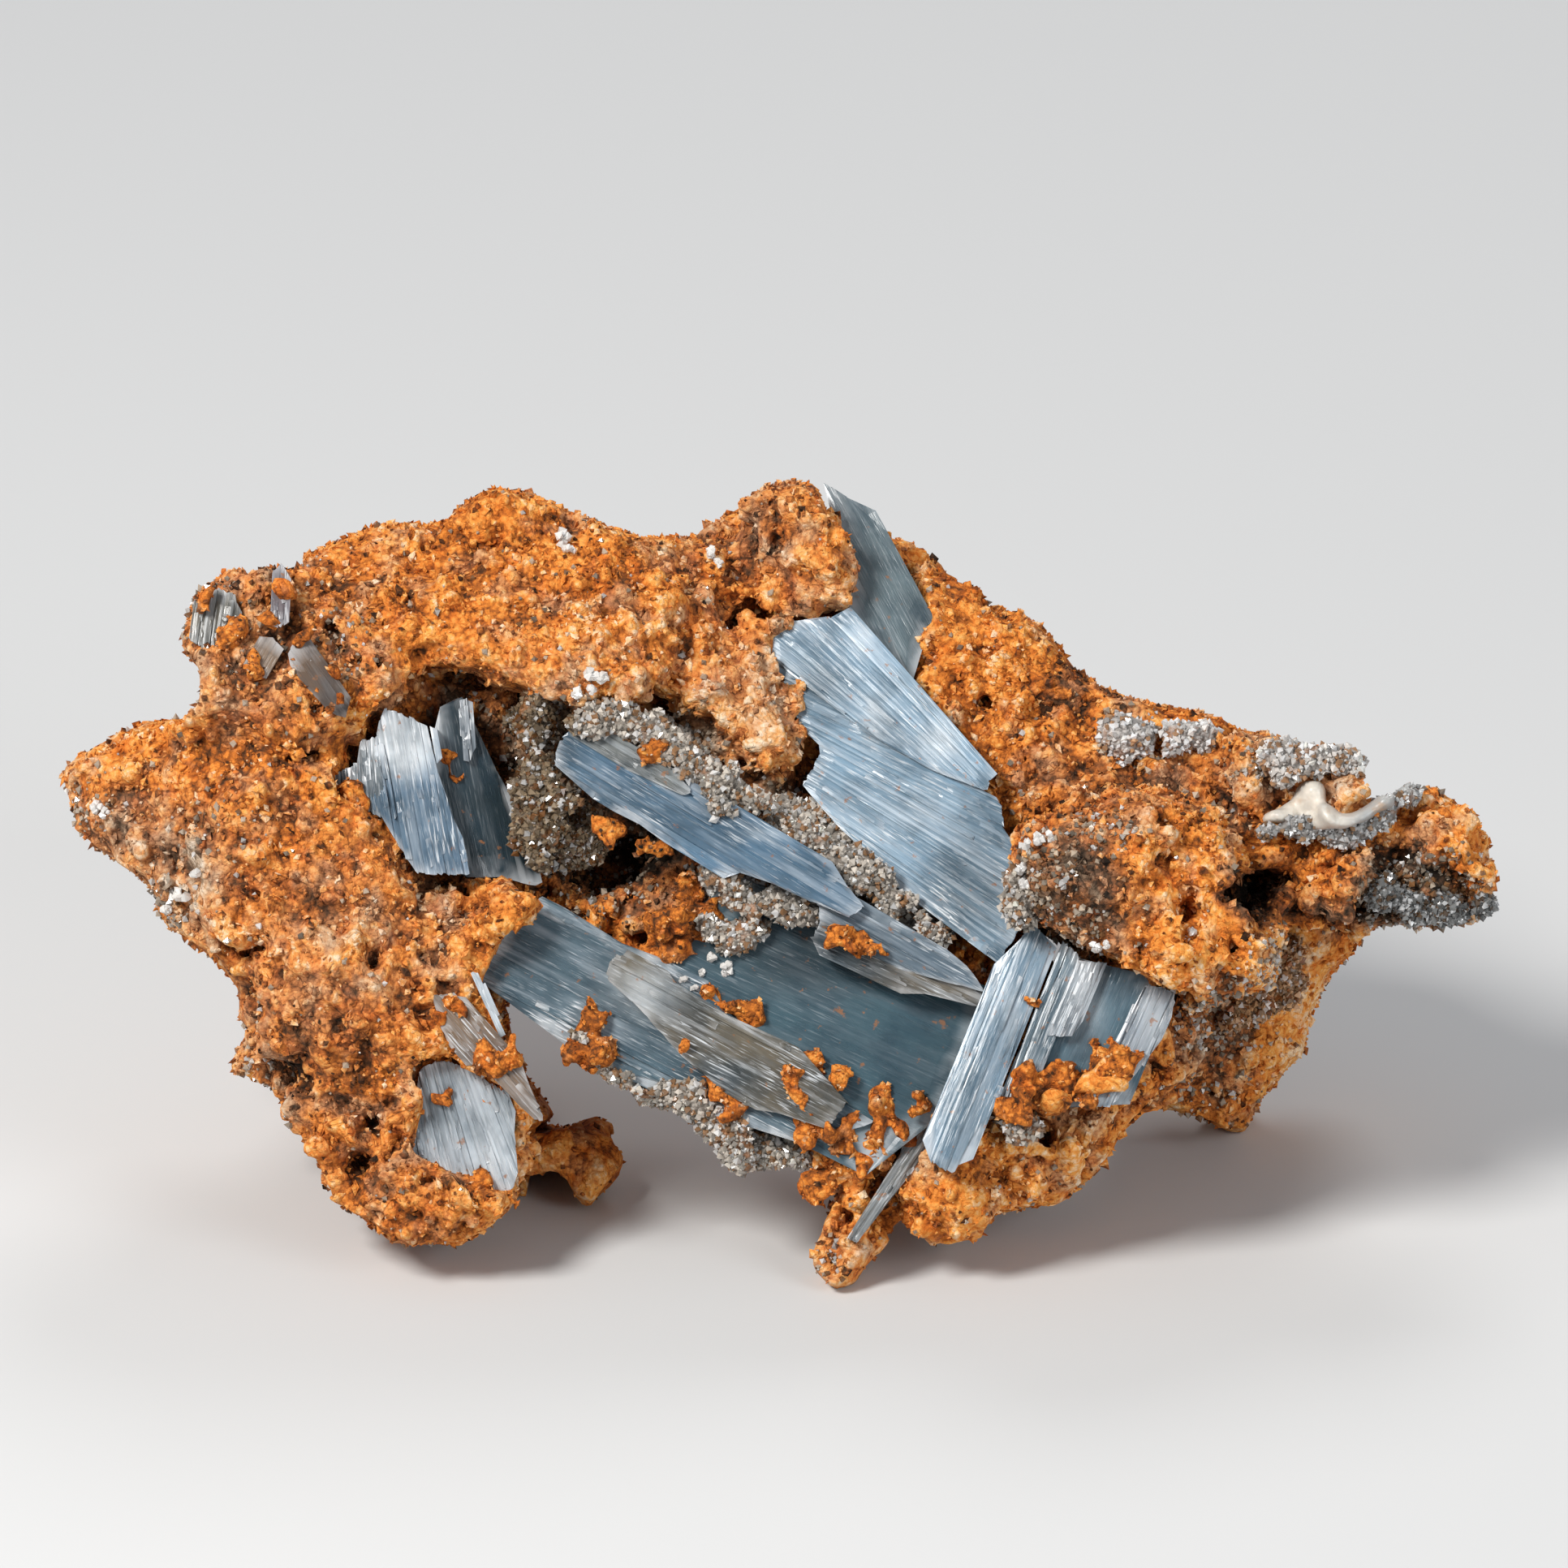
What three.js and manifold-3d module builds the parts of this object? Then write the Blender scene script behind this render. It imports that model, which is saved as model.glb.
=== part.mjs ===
// Barite blade specimen: blue-grey barite blades and grey quartz crusts on a limonite matrix.
// Units are millimetres, +Z is up, and the display face looks towards -Y.
//
// The pieces are built in the coordinates of the display face: a runs across it to the right, b up it,
// and c out of it towards the viewer. The face leans back, so one group stands the whole piece up.

import * as THREE from 'three';
import { mergeVertices } from 'three/addons/utils/BufferGeometryUtils.js';
import Module from 'manifold-3d';

const wasm = await Module();
wasm.setup();
const { Manifold, Mesh: SolidMesh } = wasm;

// ---------------------------------------------------------------- sizes

const LEAN = THREE.MathUtils.degToRad(22); // the display face leans back by this much
const ORIGIN_ACROSS = -0.48; // where the middle of the outer box lies along a
const ORIGIN_BACK = 20.3; // how far behind the face's foot that middle lies
const SEAT_GAP = 0.3; // clearance kept round each crystal in its socket
const ROCK_ROUGHNESS = 0.3; // height of the low waves on the rock's faces
const LOBE_SQUARENESS = 0.5; // 1 makes a lobe an ellipsoid, smaller values make it boxier
const LOBE_SIDES = 22;
const LOBE_RINGS = 6;
const ROCK_TOLERANCE = 0.2; // corners flatter than this are left out of the rock's faces
const PIECE_TOLERANCE = 0.07; // and of the other pieces' faces

// ---------------------------------------------------------------- solids and geometries

function solidFrom(geometry) {
  const bare = geometry.clone();
  bare.deleteAttribute('normal');
  bare.deleteAttribute('uv');
  const merged = mergeVertices(bare, 1e-4);
  return new Manifold(new SolidMesh({
    numProp: 3,
    vertProperties: new Float32Array(merged.attributes.position.array),
    triVerts: new Uint32Array(merged.index.array),
  }));
}

function geometryFrom(solid) {
  const mesh = solid.getMesh();
  const geometry = new THREE.BufferGeometry();
  geometry.setAttribute('position', new THREE.BufferAttribute(mesh.vertProperties, 3));
  geometry.setIndex(new THREE.BufferAttribute(mesh.triVerts, 1));
  geometry.computeVertexNormals();
  return geometry;
}

function largestBody(solid) {
  const bodies = solid.decompose();
  bodies.sort((one, other) => other.volume() - one.volume());
  return bodies[0];
}

function moveVertices(geometry, move) {
  const position = geometry.attributes.position;
  const point = new THREE.Vector3();
  for (let i = 0; i < position.count; i += 1) {
    point.fromBufferAttribute(position, i);
    move(point);
    position.setXYZ(i, point.x, point.y, point.z);
  }
  return geometry;
}

function shapeOf(outline) {
  return new THREE.Shape(outline.map(([a, b]) => new THREE.Vector2(a, b)));
}

// ---------------------------------------------------------------- rock lobes

// Distance from a centre to the far side of an outline, in the direction of an angle.
function reach(outline, centre, angle) {
  const along = new THREE.Vector2(Math.cos(angle), Math.sin(angle));
  let far = 0;
  outline.forEach((corner, i) => {
    const start = new THREE.Vector2(...corner).sub(centre);
    const edge = new THREE.Vector2(...outline[(i + 1) % outline.length]).sub(centre).sub(start);
    const turn = along.cross(edge);
    const distance = start.cross(edge) / turn;
    const share = start.cross(along) / turn;
    if (distance > far && share >= 0 && share <= 1) {
      far = distance;
    }
  });
  return far;
}

function rockWave(point) {
  const slow = Math.sin(0.9 * point.x - 1.1 * point.y + 0.7 * point.z);
  const quick = Math.sin(1.9 * point.x + 0.8 * point.y - 1.6 * point.z);
  return (ROCK_ROUGHNESS * (slow + quick)) / 2;
}

// A pillow of rock. Its rim follows the outline. Its front and back are planes, each given by its
// height at the centre and its slopes along a and b. The rim lies at a share of the way from front
// to back.
function lobe({ centre, outline, front, back, rim = 0.4 }) {
  const middle = new THREE.Vector2(...centre);
  const plane = ([height, slopeA, slopeB], point) => (
    height + slopeA * (point.x - middle.x) + slopeB * (point.y - middle.y));
  const pillow = new THREE.SphereGeometry(1, LOBE_SIDES, LOBE_RINGS);
  pillow.rotateX(Math.PI / 2);
  return solidFrom(moveVertices(pillow, (point) => {
    const angle = Math.atan2(point.y, point.x);
    const flat = Math.min(1, Math.hypot(point.x, point.y));
    const spread = flat < 1e-6 ? 0 : reach(outline, middle, angle) * flat ** LOBE_SQUARENESS;
    const height = Math.sign(point.z) * Math.abs(point.z) ** LOBE_SQUARENESS;
    point.x = middle.x + spread * Math.cos(angle);
    point.y = middle.y + spread * Math.sin(angle);
    const frontHeight = plane(front, point);
    const backHeight = plane(back, point);
    const rimHeight = frontHeight + rim * (backHeight - frontHeight);
    const goal = height > 0 ? frontHeight : backHeight;
    point.z = rimHeight + Math.abs(height) * (goal - rimHeight) + rockWave(point);
  }));
}

// A rounded lump of rock behind the face, given by its middle and half sizes as it stands on the table:
// x across, y back from the foot, z up.
function lump({ x, y, z, size }) {
  const ball = new THREE.SphereGeometry(1, LOBE_SIDES / 2, LOBE_RINGS);
  ball.scale(...size);
  ball.translate(x, y, z);
  ball.rotateX(LEAN - Math.PI / 2);
  return solidFrom(moveVertices(ball, (point) => {
    point.z += rockWave(point);
  }));
}

const ROCK_LOBES = [
  { // ledge, left and middle: its top runs back at a low angle
    centre: [-20, 47.5],
    outline: [[-41.5, 44], [-41.2, 46.6], [-39.5, 48.5], [-37, 49.2], [-33.5, 50.3], [-31, 51.4],
      [-28, 52.8], [-25, 52.9], [-23.2, 53.6], [-21, 54.8], [-18.2, 55.1], [-14, 53.5], [-11, 52],
      [-6, 51.5], [-5, 45], [-7, 40.5], [-9, 39.9], [-14.5, 40.4], [-17, 41.6], [-21, 43],
      [-26.2, 44.7], [-30, 43], [-36, 42]],
    front: [-1.5, 0.03, -0.85],
    back: [-22, 0, -0.6],
    rim: 0.3,
  },
  { // ledge, right: the mound at the top and the tongue that lies on the large fan
    centre: [-2.5, 44.5],
    outline: [[-9, 51.5], [-6.2, 52.2], [-4.5, 53.4], [-2, 55.2], [0, 56.1], [2, 55.6], [3.2, 53.6],
      [4.3, 51.5], [4.8, 48.2], [5, 47.1], [3.5, 46.1], [0.8, 45.8], [-0.6, 43.4], [1, 40],
      [2.9, 37.4], [2, 36.1], [0, 35.1], [-2.6, 35], [-5, 37], [-7.6, 39.8], [-10, 42], [-11, 47]],
    front: [-2.8, -0.12, -0.5],
    back: [-22, 0, -0.4],
    rim: 0.25,
  },
  { // upper left knob
    centre: [-34.5, 43],
    outline: [[-41.8, 45], [-41.4, 46.5], [-39.8, 48.2], [-38.2, 49.6], [-36.6, 49.1], [-34, 49.4],
      [-31, 48], [-27, 46], [-26, 43.5], [-28, 40], [-31, 37], [-36, 36.5], [-40.1, 40.2],
      [-41.4, 42.9]],
    front: [2, 0.05, -0.3],
    back: [-17, 0, -0.3],
    rim: 0.5,
  },
  { // left arm
    centre: [-42, 33],
    outline: [[-50.6, 35.8], [-48.5, 37], [-45.8, 38.5], [-43, 38.9], [-40, 40.2], [-36, 38],
      [-33, 34], [-36, 28], [-41, 24.5], [-43.4, 26.3], [-44.3, 28], [-48, 30.1], [-49.9, 31.8],
      [-50.3, 34]],
    front: [-1, 0.3, -0.15],
    back: [-14, 0, -0.2],
    rim: 0.5,
  },
  { // left lobe, which reaches down to the left front foot
    centre: [-29, 21],
    outline: [[-43.5, 37], [-40.3, 41.2], [-36, 42.5], [-32, 41], [-29, 34], [-25, 28.4],
      [-19, 28.5], [-16.3, 27], [-17, 22], [-19.3, 19.3], [-18.7, 16], [-17.2, 12.5], [-17.5, 9],
      [-18, 6.2], [-20.3, 3.8], [-22.3, 2.8], [-26.5, 3], [-31.3, 5.8], [-34.3, 9.8], [-35.9, 13.4],
      [-37.8, 13], [-38.6, 15], [-37.5, 17.3], [-38.2, 20.7], [-40.6, 23.4], [-43.4, 26.3],
      [-44, 30]],
    front: [2.6, 0.02, 0.03],
    back: [-19, 0, -0.6],
    rim: 0.45,
  },
  { // core behind the blades; its underside is the roof of the arch
    centre: [-4, 29],
    outline: [[-28, 41], [-20, 43.5], [-10, 46], [0, 50], [5, 53], [8, 51], [12, 47], [16, 44],
      [20, 40], [22, 32], [20, 25], [14, 21], [13, 16], [9, 10.8], [2, 8.6], [-3, 9.4], [-8, 12.2],
      [-13.4, 14.8], [-19, 19.5], [-24, 26], [-27, 33]],
    front: [-3.4, 0, -0.16],
    back: [-20, 0, -0.45],
    rim: 0.3,
  },
  { // right ridge
    centre: [18.5, 38],
    outline: [[5, 53.5], [8.5, 52.8], [10.3, 51], [12.3, 50], [13.6, 47.7], [15.5, 46.7],
      [18, 45.6], [19.2, 43.8], [21.2, 41.9], [24, 40.5], [28, 40.2], [30.9, 38.4], [35, 37.6],
      [38, 33], [36, 28], [28, 25], [18, 27], [15.5, 30], [13.7, 34.4], [9, 42], [9.5, 45]],
    front: [-5, 0, -0.45],
    back: [-24, 0, -0.35],
    rim: 0.35,
  },
  { // right knob, the part nearest the viewer
    centre: [25.3, 26.5],
    outline: [[16, 27.3], [17.2, 29.3], [18.3, 30.8], [21, 33], [26, 34], [30, 32], [33, 29],
      [34, 24], [33.9, 21.5], [31, 20.1], [29, 19.4], [26.8, 20.9], [23.7, 21.5], [21, 22.6],
      [18.3, 24.6], [16.8, 26.8]],
    front: [8.6, 0, 0],
    back: [-12, 0, 0],
    rim: 0.4,
  },
  { // right arm
    centre: [40.5, 30.5],
    outline: [[30, 38], [34, 38.2], [38.8, 37.1], [40.4, 36.3], [41.2, 34.2], [43.1, 34.9],
      [46.2, 34.1], [49.1, 32.4], [49.2, 30.5], [49.6, 28], [49.4, 26], [47.3, 24.6], [42.5, 24.7],
      [40.4, 24], [36, 25], [32, 26], [30, 31]],
    front: [-0.8, -0.1, -0.1],
    back: [-15, 0, -0.2],
    rim: 0.4,
  },
  { // right rear lobe, which reaches down to the right rear foot
    centre: [32, 20],
    outline: [[24, 12.5], [28, 11.6], [30.8, 10.1], [32.3, 9.4], [33, 11.4], [35, 14.3],
      [36.4, 15.8], [37.5, 19], [38.7, 22], [40.4, 24], [41, 27], [38, 31], [30, 34], [24, 30],
      [22, 22]],
    front: [-16.5, -0.5, 0.5],
    back: [-30, 0, -0.35],
    rim: 0.5,
  },
  { // spike under the blades, which carries the front foot
    centre: [6, 7],
    outline: [[1.7, 1.2], [2.6, -0.5], [4.2, -0.7], [5.7, 0.6], [7.4, 2], [9.2, 3.3], [11, 6],
      [11.5, 9], [9, 12], [4, 11.8], [1, 10.5], [2.6, 8], [3.1, 6], [2.3, 2.8]],
    front: [1.6, 0, 0.05],
    back: [-7.5, 0, -0.9],
    rim: 0.4,
  },
  { // lower band, from the spike to the right
    centre: [18, 12],
    outline: [[7, 11], [8.8, 4], [11.3, 1], [12.2, 2.7], [14.2, 4.2], [17.5, 5.2], [21, 6.5],
      [23, 9.7], [25, 11.9], [27, 13.2], [28.5, 16], [28, 20], [22, 24], [13, 19]],
    front: [1.6, -0.3, 0.05],
    back: [-15, 0, -0.85],
    rim: 0.35,
  },
];

const REAR_LUMPS = [
  { x: -8, y: 33, z: 31, size: [19, 9, 12] }, // upper back
  { x: 17, y: 31, z: 25, size: [15, 9, 11] }, // right back
  { x: -27, y: 27, z: 24, size: [12, 10, 15] }, // left back
  { x: -24, y: 33.5, z: 8.5, size: [8.5, 6.5, 11] }, // rear foot
  { x: -16.5, y: 20, z: 4.2, size: [5.5, 8.5, 4.8] }, // root from the rear foot to the small knob
  { x: -13.1, y: 13.4, z: 2.3, size: [2.7, 3.2, 3.6] }, // small knob, seen through the arch
  { x: 32.2, y: 28.6, z: 2.4, size: [3, 3.4, 4] }, // right rear foot
];

// ---------------------------------------------------------------- barite crystals

// Each crystal builder takes a growth: 0 makes the crystal, SEAT_GAP makes the socket cut for it.
function extruded(outline, thickness, growth) {
  return new THREE.ExtrudeGeometry(shapeOf(outline), {
    depth: thickness,
    bevelEnabled: growth > 0,
    bevelSize: growth,
    bevelThickness: growth,
    bevelSegments: 1,
  });
}

// A flat plate with a drawn outline. Its face is a plane through a height at [a, b], with two slopes.
function plate({ outline, at, slopes, thickness }, growth) {
  const [a, b, height] = at;
  const [slopeA, slopeB] = slopes;
  const slab = extruded(outline, thickness, growth);
  return moveVertices(slab, (point) => {
    point.z += height - thickness + slopeA * (point.x - a) + slopeB * (point.y - b);
  });
}

// A tapered prism between two points on its front face, with a width and a pointed tip at each end.
function lath({ from, to, widths, thickness, roll = 0, tips = [0.8, 0.8] }, growth) {
  const start = new THREE.Vector3(...from);
  const along = new THREE.Vector3(...to).sub(start);
  const length = along.length();
  const [halfStart, halfEnd] = widths.map((width) => width / 2);
  const outline = [[0, -halfStart], [length, -halfEnd], [length + tips[1], 0], [length, halfEnd],
    [0, halfStart], [-tips[0], 0]];
  const prism = extruded(outline, thickness, growth);
  prism.translate(0, 0, -thickness);
  prism.rotateX(THREE.MathUtils.degToRad(roll));
  along.normalize();
  const across = new THREE.Vector3(0, 0, 1).cross(along).normalize();
  const outward = along.clone().cross(across);
  prism.applyMatrix4(new THREE.Matrix4().makeBasis(along, across, outward).setPosition(start));
  return prism;
}

const FAN_MAIN = {
  outline: [[-3, 46], [4.8, 46.5], [8.5, 42.2], [11, 39.6], [13.3, 37], [14.3, 35.2], [13.7, 34.4],
    [14.8, 33.2], [14.9, 31.5], [16.2, 30.3], [16, 27], [16.6, 25.8], [14.6, 22.7], [11.5, 24.7],
    [8.3, 27.7], [4.3, 31.2], [1.5, 34.4], [-1, 37], [-2, 41]],
  at: [10, 32, -0.6],
  slopes: [0.08, -0.36],
  thickness: 3,
};

const FAN_UPPER = {
  outline: [[2.3, 55.4], [4.3, 54.3], [6, 52.8], [7, 51.3], [9, 48.8], [9.8, 46.8], [9.3, 43.8],
    [8.5, 40.5], [4.5, 41], [1, 46.5], [1.5, 51]],
  at: [5, 47, -8],
  slopes: [0, -0.33],
  thickness: 3,
};

const SLAB = {
  outline: [[-21.3, 21.2], [-16.5, 26.8], [-14.5, 25.7], [-12, 23.6], [-6, 25.6], [3, 24.6],
    [12.6, 20.6], [13.3, 18.4], [12.5, 16.5], [11.6, 14.8], [11, 12.8], [9.7, 11.3], [5, 10.2],
    [1.3, 9.8], [-3, 12], [-6, 13.2], [-9.5, 14.4], [-12, 15], [-14.2, 17.3], [-17, 19.1],
    [-20, 20.4]],
  at: [0, 18, 1.2],
  slopes: [0.06, -0.14],
  thickness: 3,
};

const BLADE_LEFT_FRONT = {
  outline: [[-28.1, 40.3], [-26.5, 39.2], [-24.5, 38.6], [-24, 35.5], [-22.8, 32.5], [-21.8, 28.5],
    [-24.5, 27.6], [-26.3, 30.2], [-27.5, 32.5], [-30, 33.4], [-31, 34.7], [-30.6, 36.2],
    [-29.3, 36.4]],
  at: [-25.5, 34, 0.6],
  slopes: [-0.05, -0.1],
  thickness: 2.8,
};

const BLADE_LEFT_BACK = {
  outline: [[-23.8, 40], [-22.3, 40.8], [-21.6, 39.8], [-21.2, 37.5], [-19, 34.5], [-18.7, 32.2],
    [-17.5, 30], [-18, 28], [-23, 28], [-25, 33]],
  at: [-21, 34, -1.6],
  slopes: [-0.1, -0.1],
  thickness: 2.6,
};

const BLADE_LOWER_LEFT = {
  outline: [[-25.2, 15], [-24, 15.7], [-22.5, 15.5], [-20.5, 14.3], [-19, 13.3], [-18.6, 11],
    [-18.3, 8], [-18.5, 7], [-19.3, 6.1], [-20.8, 6], [-21.5, 7.4], [-24.5, 8], [-25.7, 9],
    [-25.8, 10.5], [-25.4, 12.5]],
  at: [-22, 11, 1.3],
  slopes: [0.05, 0.05],
  thickness: 3,
};

const BLOCK_PANEL = {
  outline: [[18.6, 22], [24.8, 21.2], [26, 18], [24, 14], [22.4, 12.9], [18, 12.6], [15.4, 13]],
  at: [20.5, 17, 3.6],
  slopes: [0, -0.05],
  thickness: 3,
};

const CRYSTALS = [
  {
    name: 'barite_prism_right',
    colour: 0x9db8cc,
    parts: [[lath, {
      from: [16.9, 24.6, 4.6],
      to: [10.6, 8.8, 6.4],
      widths: [2.6, 1.9],
      thickness: 3.2,
    }]],
  },
  {
    name: 'barite_block_right',
    colour: 0x8aa4b4,
    parts: [
      [lath, { from: [19.2, 23.4, 4.4], to: [15.5, 13.2, 5.4], widths: [1.7, 1.3], thickness: 3.4 }],
      [lath, { from: [21.5, 22.4, 4.8], to: [18.2, 13.6, 5.6], widths: [1.7, 1.5], thickness: 3.6 }],
      [plate, BLOCK_PANEL],
      [lath, { from: [25.9, 20, 4.2], to: [22.4, 13.3, 5], widths: [1.9, 1.5], thickness: 3.4 }],
    ],
  },
  {
    name: 'barite_blade_middle',
    colour: 0x8ba6ba,
    parts: [
      [lath, { from: [-15.2, 37, 1.6], to: [3.4, 27.4, 4.4], widths: [3.6, 2.2], thickness: 2.4 }],
      [lath, { from: [2.8, 24.9, 3.8], to: [13.2, 20.2, 4.9], widths: [4.2, 1.6], thickness: 2.2 }],
    ],
  },
  {
    name: 'barite_fan_large',
    colour: 0x8fb0c4,
    parts: [[plate, FAN_MAIN], [plate, FAN_UPPER]],
  },
  {
    name: 'barite_slab_lower',
    colour: 0x54707e,
    parts: [
      [plate, SLAB],
      [lath, { from: [-11.4, 22.1, 3], to: [1, 15.2, 2.4], widths: [2.3, 3.6], thickness: 2 }],
      [lath, { from: [-4, 14.2, 2.2], to: [5, 11.4, 2.2], widths: [3, 2], thickness: 1.6 }],
      [lath, { from: [9.9, 12, 1.6], to: [4.3, 3.4, 2.9], widths: [1.4, 0.9], thickness: 2.2 }],
    ],
  },
  {
    name: 'barite_blade_left',
    colour: 0x9fb6c6,
    parts: [[plate, BLADE_LEFT_FRONT], [plate, BLADE_LEFT_BACK]],
  },
  {
    name: 'barite_spear_left',
    colour: 0xb9b4ac,
    parts: [[lath, {
      from: [-24.2, 20, 3.2],
      to: [-17.1, 11.9, 4],
      widths: [2.4, 1.2],
      thickness: 1,
      roll: -12,
      tips: [0.4, 1],
    }]],
  },
  {
    name: 'barite_fan_lower_left',
    colour: 0xa9adb0,
    parts: [[plate, BLADE_LOWER_LEFT]],
  },
  {
    name: 'barite_needle_left',
    colour: 0x9fb0bc,
    parts: [[lath, {
      from: [-21.4, 21.7, 3.2],
      to: [-19.4, 17.4, 2.9],
      widths: [0.7, 0.5],
      thickness: 0.7,
      tips: [0.2, 0.5],
    }]],
  },
  {
    name: 'barite_plate_knob_1',
    colour: 0x80807c,
    parts: [[lath, {
      from: [-39.6, 44.4, 1.6],
      to: [-39.1, 47.6, 0.6],
      widths: [2.8, 2.8],
      thickness: 2.4,
    }]],
  },
  {
    name: 'barite_plate_knob_2',
    colour: 0x86808a,
    parts: [[lath, {
      from: [-34.8, 45.8, 2.4],
      to: [-34.7, 49, 0.8],
      widths: [1.1, 1.1],
      thickness: 2.6,
    }]],
  },
  {
    name: 'barite_plate_knob_3',
    colour: 0x7c5638,
    parts: [[lath, {
      from: [-31.3, 40.4, 3],
      to: [-33.4, 43.2, 2.7],
      widths: [3, 2.8],
      thickness: 1.6,
    }]],
  },
  {
    name: 'barite_plate_knob_4',
    colour: 0x7d6553,
    parts: [[lath, {
      from: [-36.3, 42.6, 3],
      to: [-35.4, 44.2, 2.6],
      widths: [2.2, 2],
      thickness: 1.6,
    }]],
  },
];

function crystalSolid(crystal, growth) {
  return Manifold.union(crystal.parts.map(([build, sizes]) => solidFrom(build(sizes, growth))));
}

// ---------------------------------------------------------------- crusts

// A crust is a row of low lumps that follows a path [a, b] over what carries it. Lift raises the lumps'
// middles. A path that runs past an edge gives its own heights, as [a, b, c].
const CRUSTS = [
  {
    name: 'quartz_seam',
    path: [[-13, 39.4], [-9.5, 38.4], [-6.4, 36.2], [-3.5, 34.2], [0, 32.4], [3.6, 30], [7, 27.2],
      [9.4, 25.6]],
    radius: 1.5,
    lift: 0.2,
  },
  {
    name: 'quartz_pocket',
    path: [[-16.8, 38.8], [-17.4, 36], [-16.6, 33], [-14.6, 30.8]],
    radius: 2,
    lift: 0.2,
  },
  {
    name: 'quartz_shelf',
    path: [[-4.4, 27.4], [-1.6, 26.8], [1.2, 25.4], [2.2, 24.2]],
    radius: 1.3,
    lift: 0.5,
  },
  {
    name: 'quartz_lower_edge',
    path: [[-12, 13.9, -0.4], [-9, 12.6, -0.4], [-6, 11, -0.6], [-3.4, 9.2, -1], [-1, 8.9, -1.2],
      [1, 9, -1.2]],
    radius: 1.7,
    lift: 0,
  },
  {
    name: 'quartz_knob_1',
    path: [[23.4, 38], [24.8, 38]],
    radius: 1.7,
    lift: 0.4,
  },
  {
    name: 'quartz_knob_2',
    path: [[26.8, 37.4], [28.7, 37.7]],
    radius: 1.6,
    lift: 0.4,
  },
  {
    name: 'quartz_knob_arm',
    path: [[34.6, 36], [37, 36.3], [39.4, 36.2]],
    radius: 1.4,
    lift: 0.4,
  },
  {
    name: 'quartz_band_right',
    path: [[28.2, 17.2], [30.2, 18.3], [32.4, 19.4], [34.2, 21.2], [34.6, 23]],
    radius: 1.4,
    lift: 0.5,
  },
  {
    name: 'quartz_ridge_white',
    path: [[33.6, 31.7], [37, 31.4], [39.8, 31.5], [41.6, 33], [43, 34.3]],
    radius: 1,
    lift: 0.4,
  },
  {
    name: 'quartz_arm_underside',
    path: [[41.4, 27.4], [43.4, 26.2], [46, 25.8], [47.8, 26.4]],
    radius: 1.7,
    lift: 0.4,
  },
  {
    name: 'limonite_crust_block',
    path: [[15.6, 13], [18, 13], [20.4, 13.3], [22.1, 15.4]],
    radius: 1.3,
    lift: 0.8,
    colour: 0xd08040,
  },
];

const QUARTZ_COLOUR = 0xa09890;
const LUMP_SPACING = 1.3; // distance between lumps, as a share of their radius
const LUMP_STEP = 0.6; // most that a lump stands above or below the one before, likewise
const RAY_START = 60; // rays start this far in front of the face

// The height of the frontmost surface at [a, b].
function frontHeight(carrier, a, b) {
  const ray = new THREE.Raycaster(new THREE.Vector3(a, b, RAY_START), new THREE.Vector3(0, 0, -1));
  const hits = ray.intersectObject(carrier);
  return hits.length ? hits[0].point.z : 0;
}

function crustLumps({ path, radius, lift }, carrier) {
  const drawn = path[0].length === 3;
  const curve = new THREE.CatmullRomCurve3(path.map(([a, b, c = 0]) => new THREE.Vector3(a, b, c)));
  const count = Math.max(1, Math.round(curve.getLength() / (radius * LUMP_SPACING)));
  const lumps = [];
  for (let i = 0; i <= count; i += 1) {
    const middle = curve.getPointAt(i / count);
    middle.z = (drawn ? middle.z : frontHeight(carrier, middle.x, middle.y)) + lift;
    if (i > 0) {
      const last = lumps[i - 1].middle.z;
      const step = LUMP_STEP * radius;
      middle.z = THREE.MathUtils.clamp(middle.z, last - step, last + step);
    }
    lumps.push({ middle, size: radius * (1 + 0.12 * Math.sin(5 * i)) });
  }
  return lumps;
}

function crustSolid(lumps, growth) {
  return Manifold.union(lumps.map(({ middle, size }) => {
    const knob = new THREE.IcosahedronGeometry(size + growth, 0);
    knob.rotateZ(middle.x);
    knob.rotateX(middle.y);
    knob.translate(middle.x, middle.y, middle.z);
    return solidFrom(knob);
  }));
}

// ---------------------------------------------------------------- assembly

// What is left of a body once the others are taken away from it.
function cutBy(body, others) {
  return largestBody(Manifold.difference([body, ...others]));
}

const TABLE_UP = [0, Math.cos(LEAN), Math.sin(LEAN)]; // up from the table, in face coordinates

const crystals = CRYSTALS.map((crystal) => ({
  name: crystal.name,
  colour: crystal.colour,
  finish: 0.35,
  body: crystalSolid(crystal, 0),
  socket: crystalSolid(crystal, SEAT_GAP),
}));

// Each crystal gives way to the crystals before it in the list, and the rock gives way to all of them.
crystals.forEach((piece, i) => {
  const earlier = crystals.slice(0, i).map(({ socket }) => socket);
  piece.solid = cutBy(piece.body, earlier).simplify(PIECE_TOLERANCE);
});

const rock = Manifold.union([...ROCK_LOBES.map(lobe), ...REAR_LUMPS.map(lump)]);
const socketedRock = cutBy(rock, crystals.map(({ socket }) => socket));
const matrix = largestBody(socketedRock.simplify(ROCK_TOLERANCE).trimByPlane(TABLE_UP, 0));

// The crusts lie on the rock and the crystals, and on each other where they meet.
const crustClearance = [
  matrix,
  ...[[0, 0, SEAT_GAP], [0, -SEAT_GAP, 0], [SEAT_GAP, 0, 0], [-SEAT_GAP, 0, 0]].map(
    (shift) => matrix.translate(shift)),
  ...crystals.map(({ socket }) => socket),
];
const ground = Manifold.union([matrix, ...crystals.map(({ body }) => body)]);
const carrier = new THREE.Mesh(geometryFrom(ground));

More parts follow.
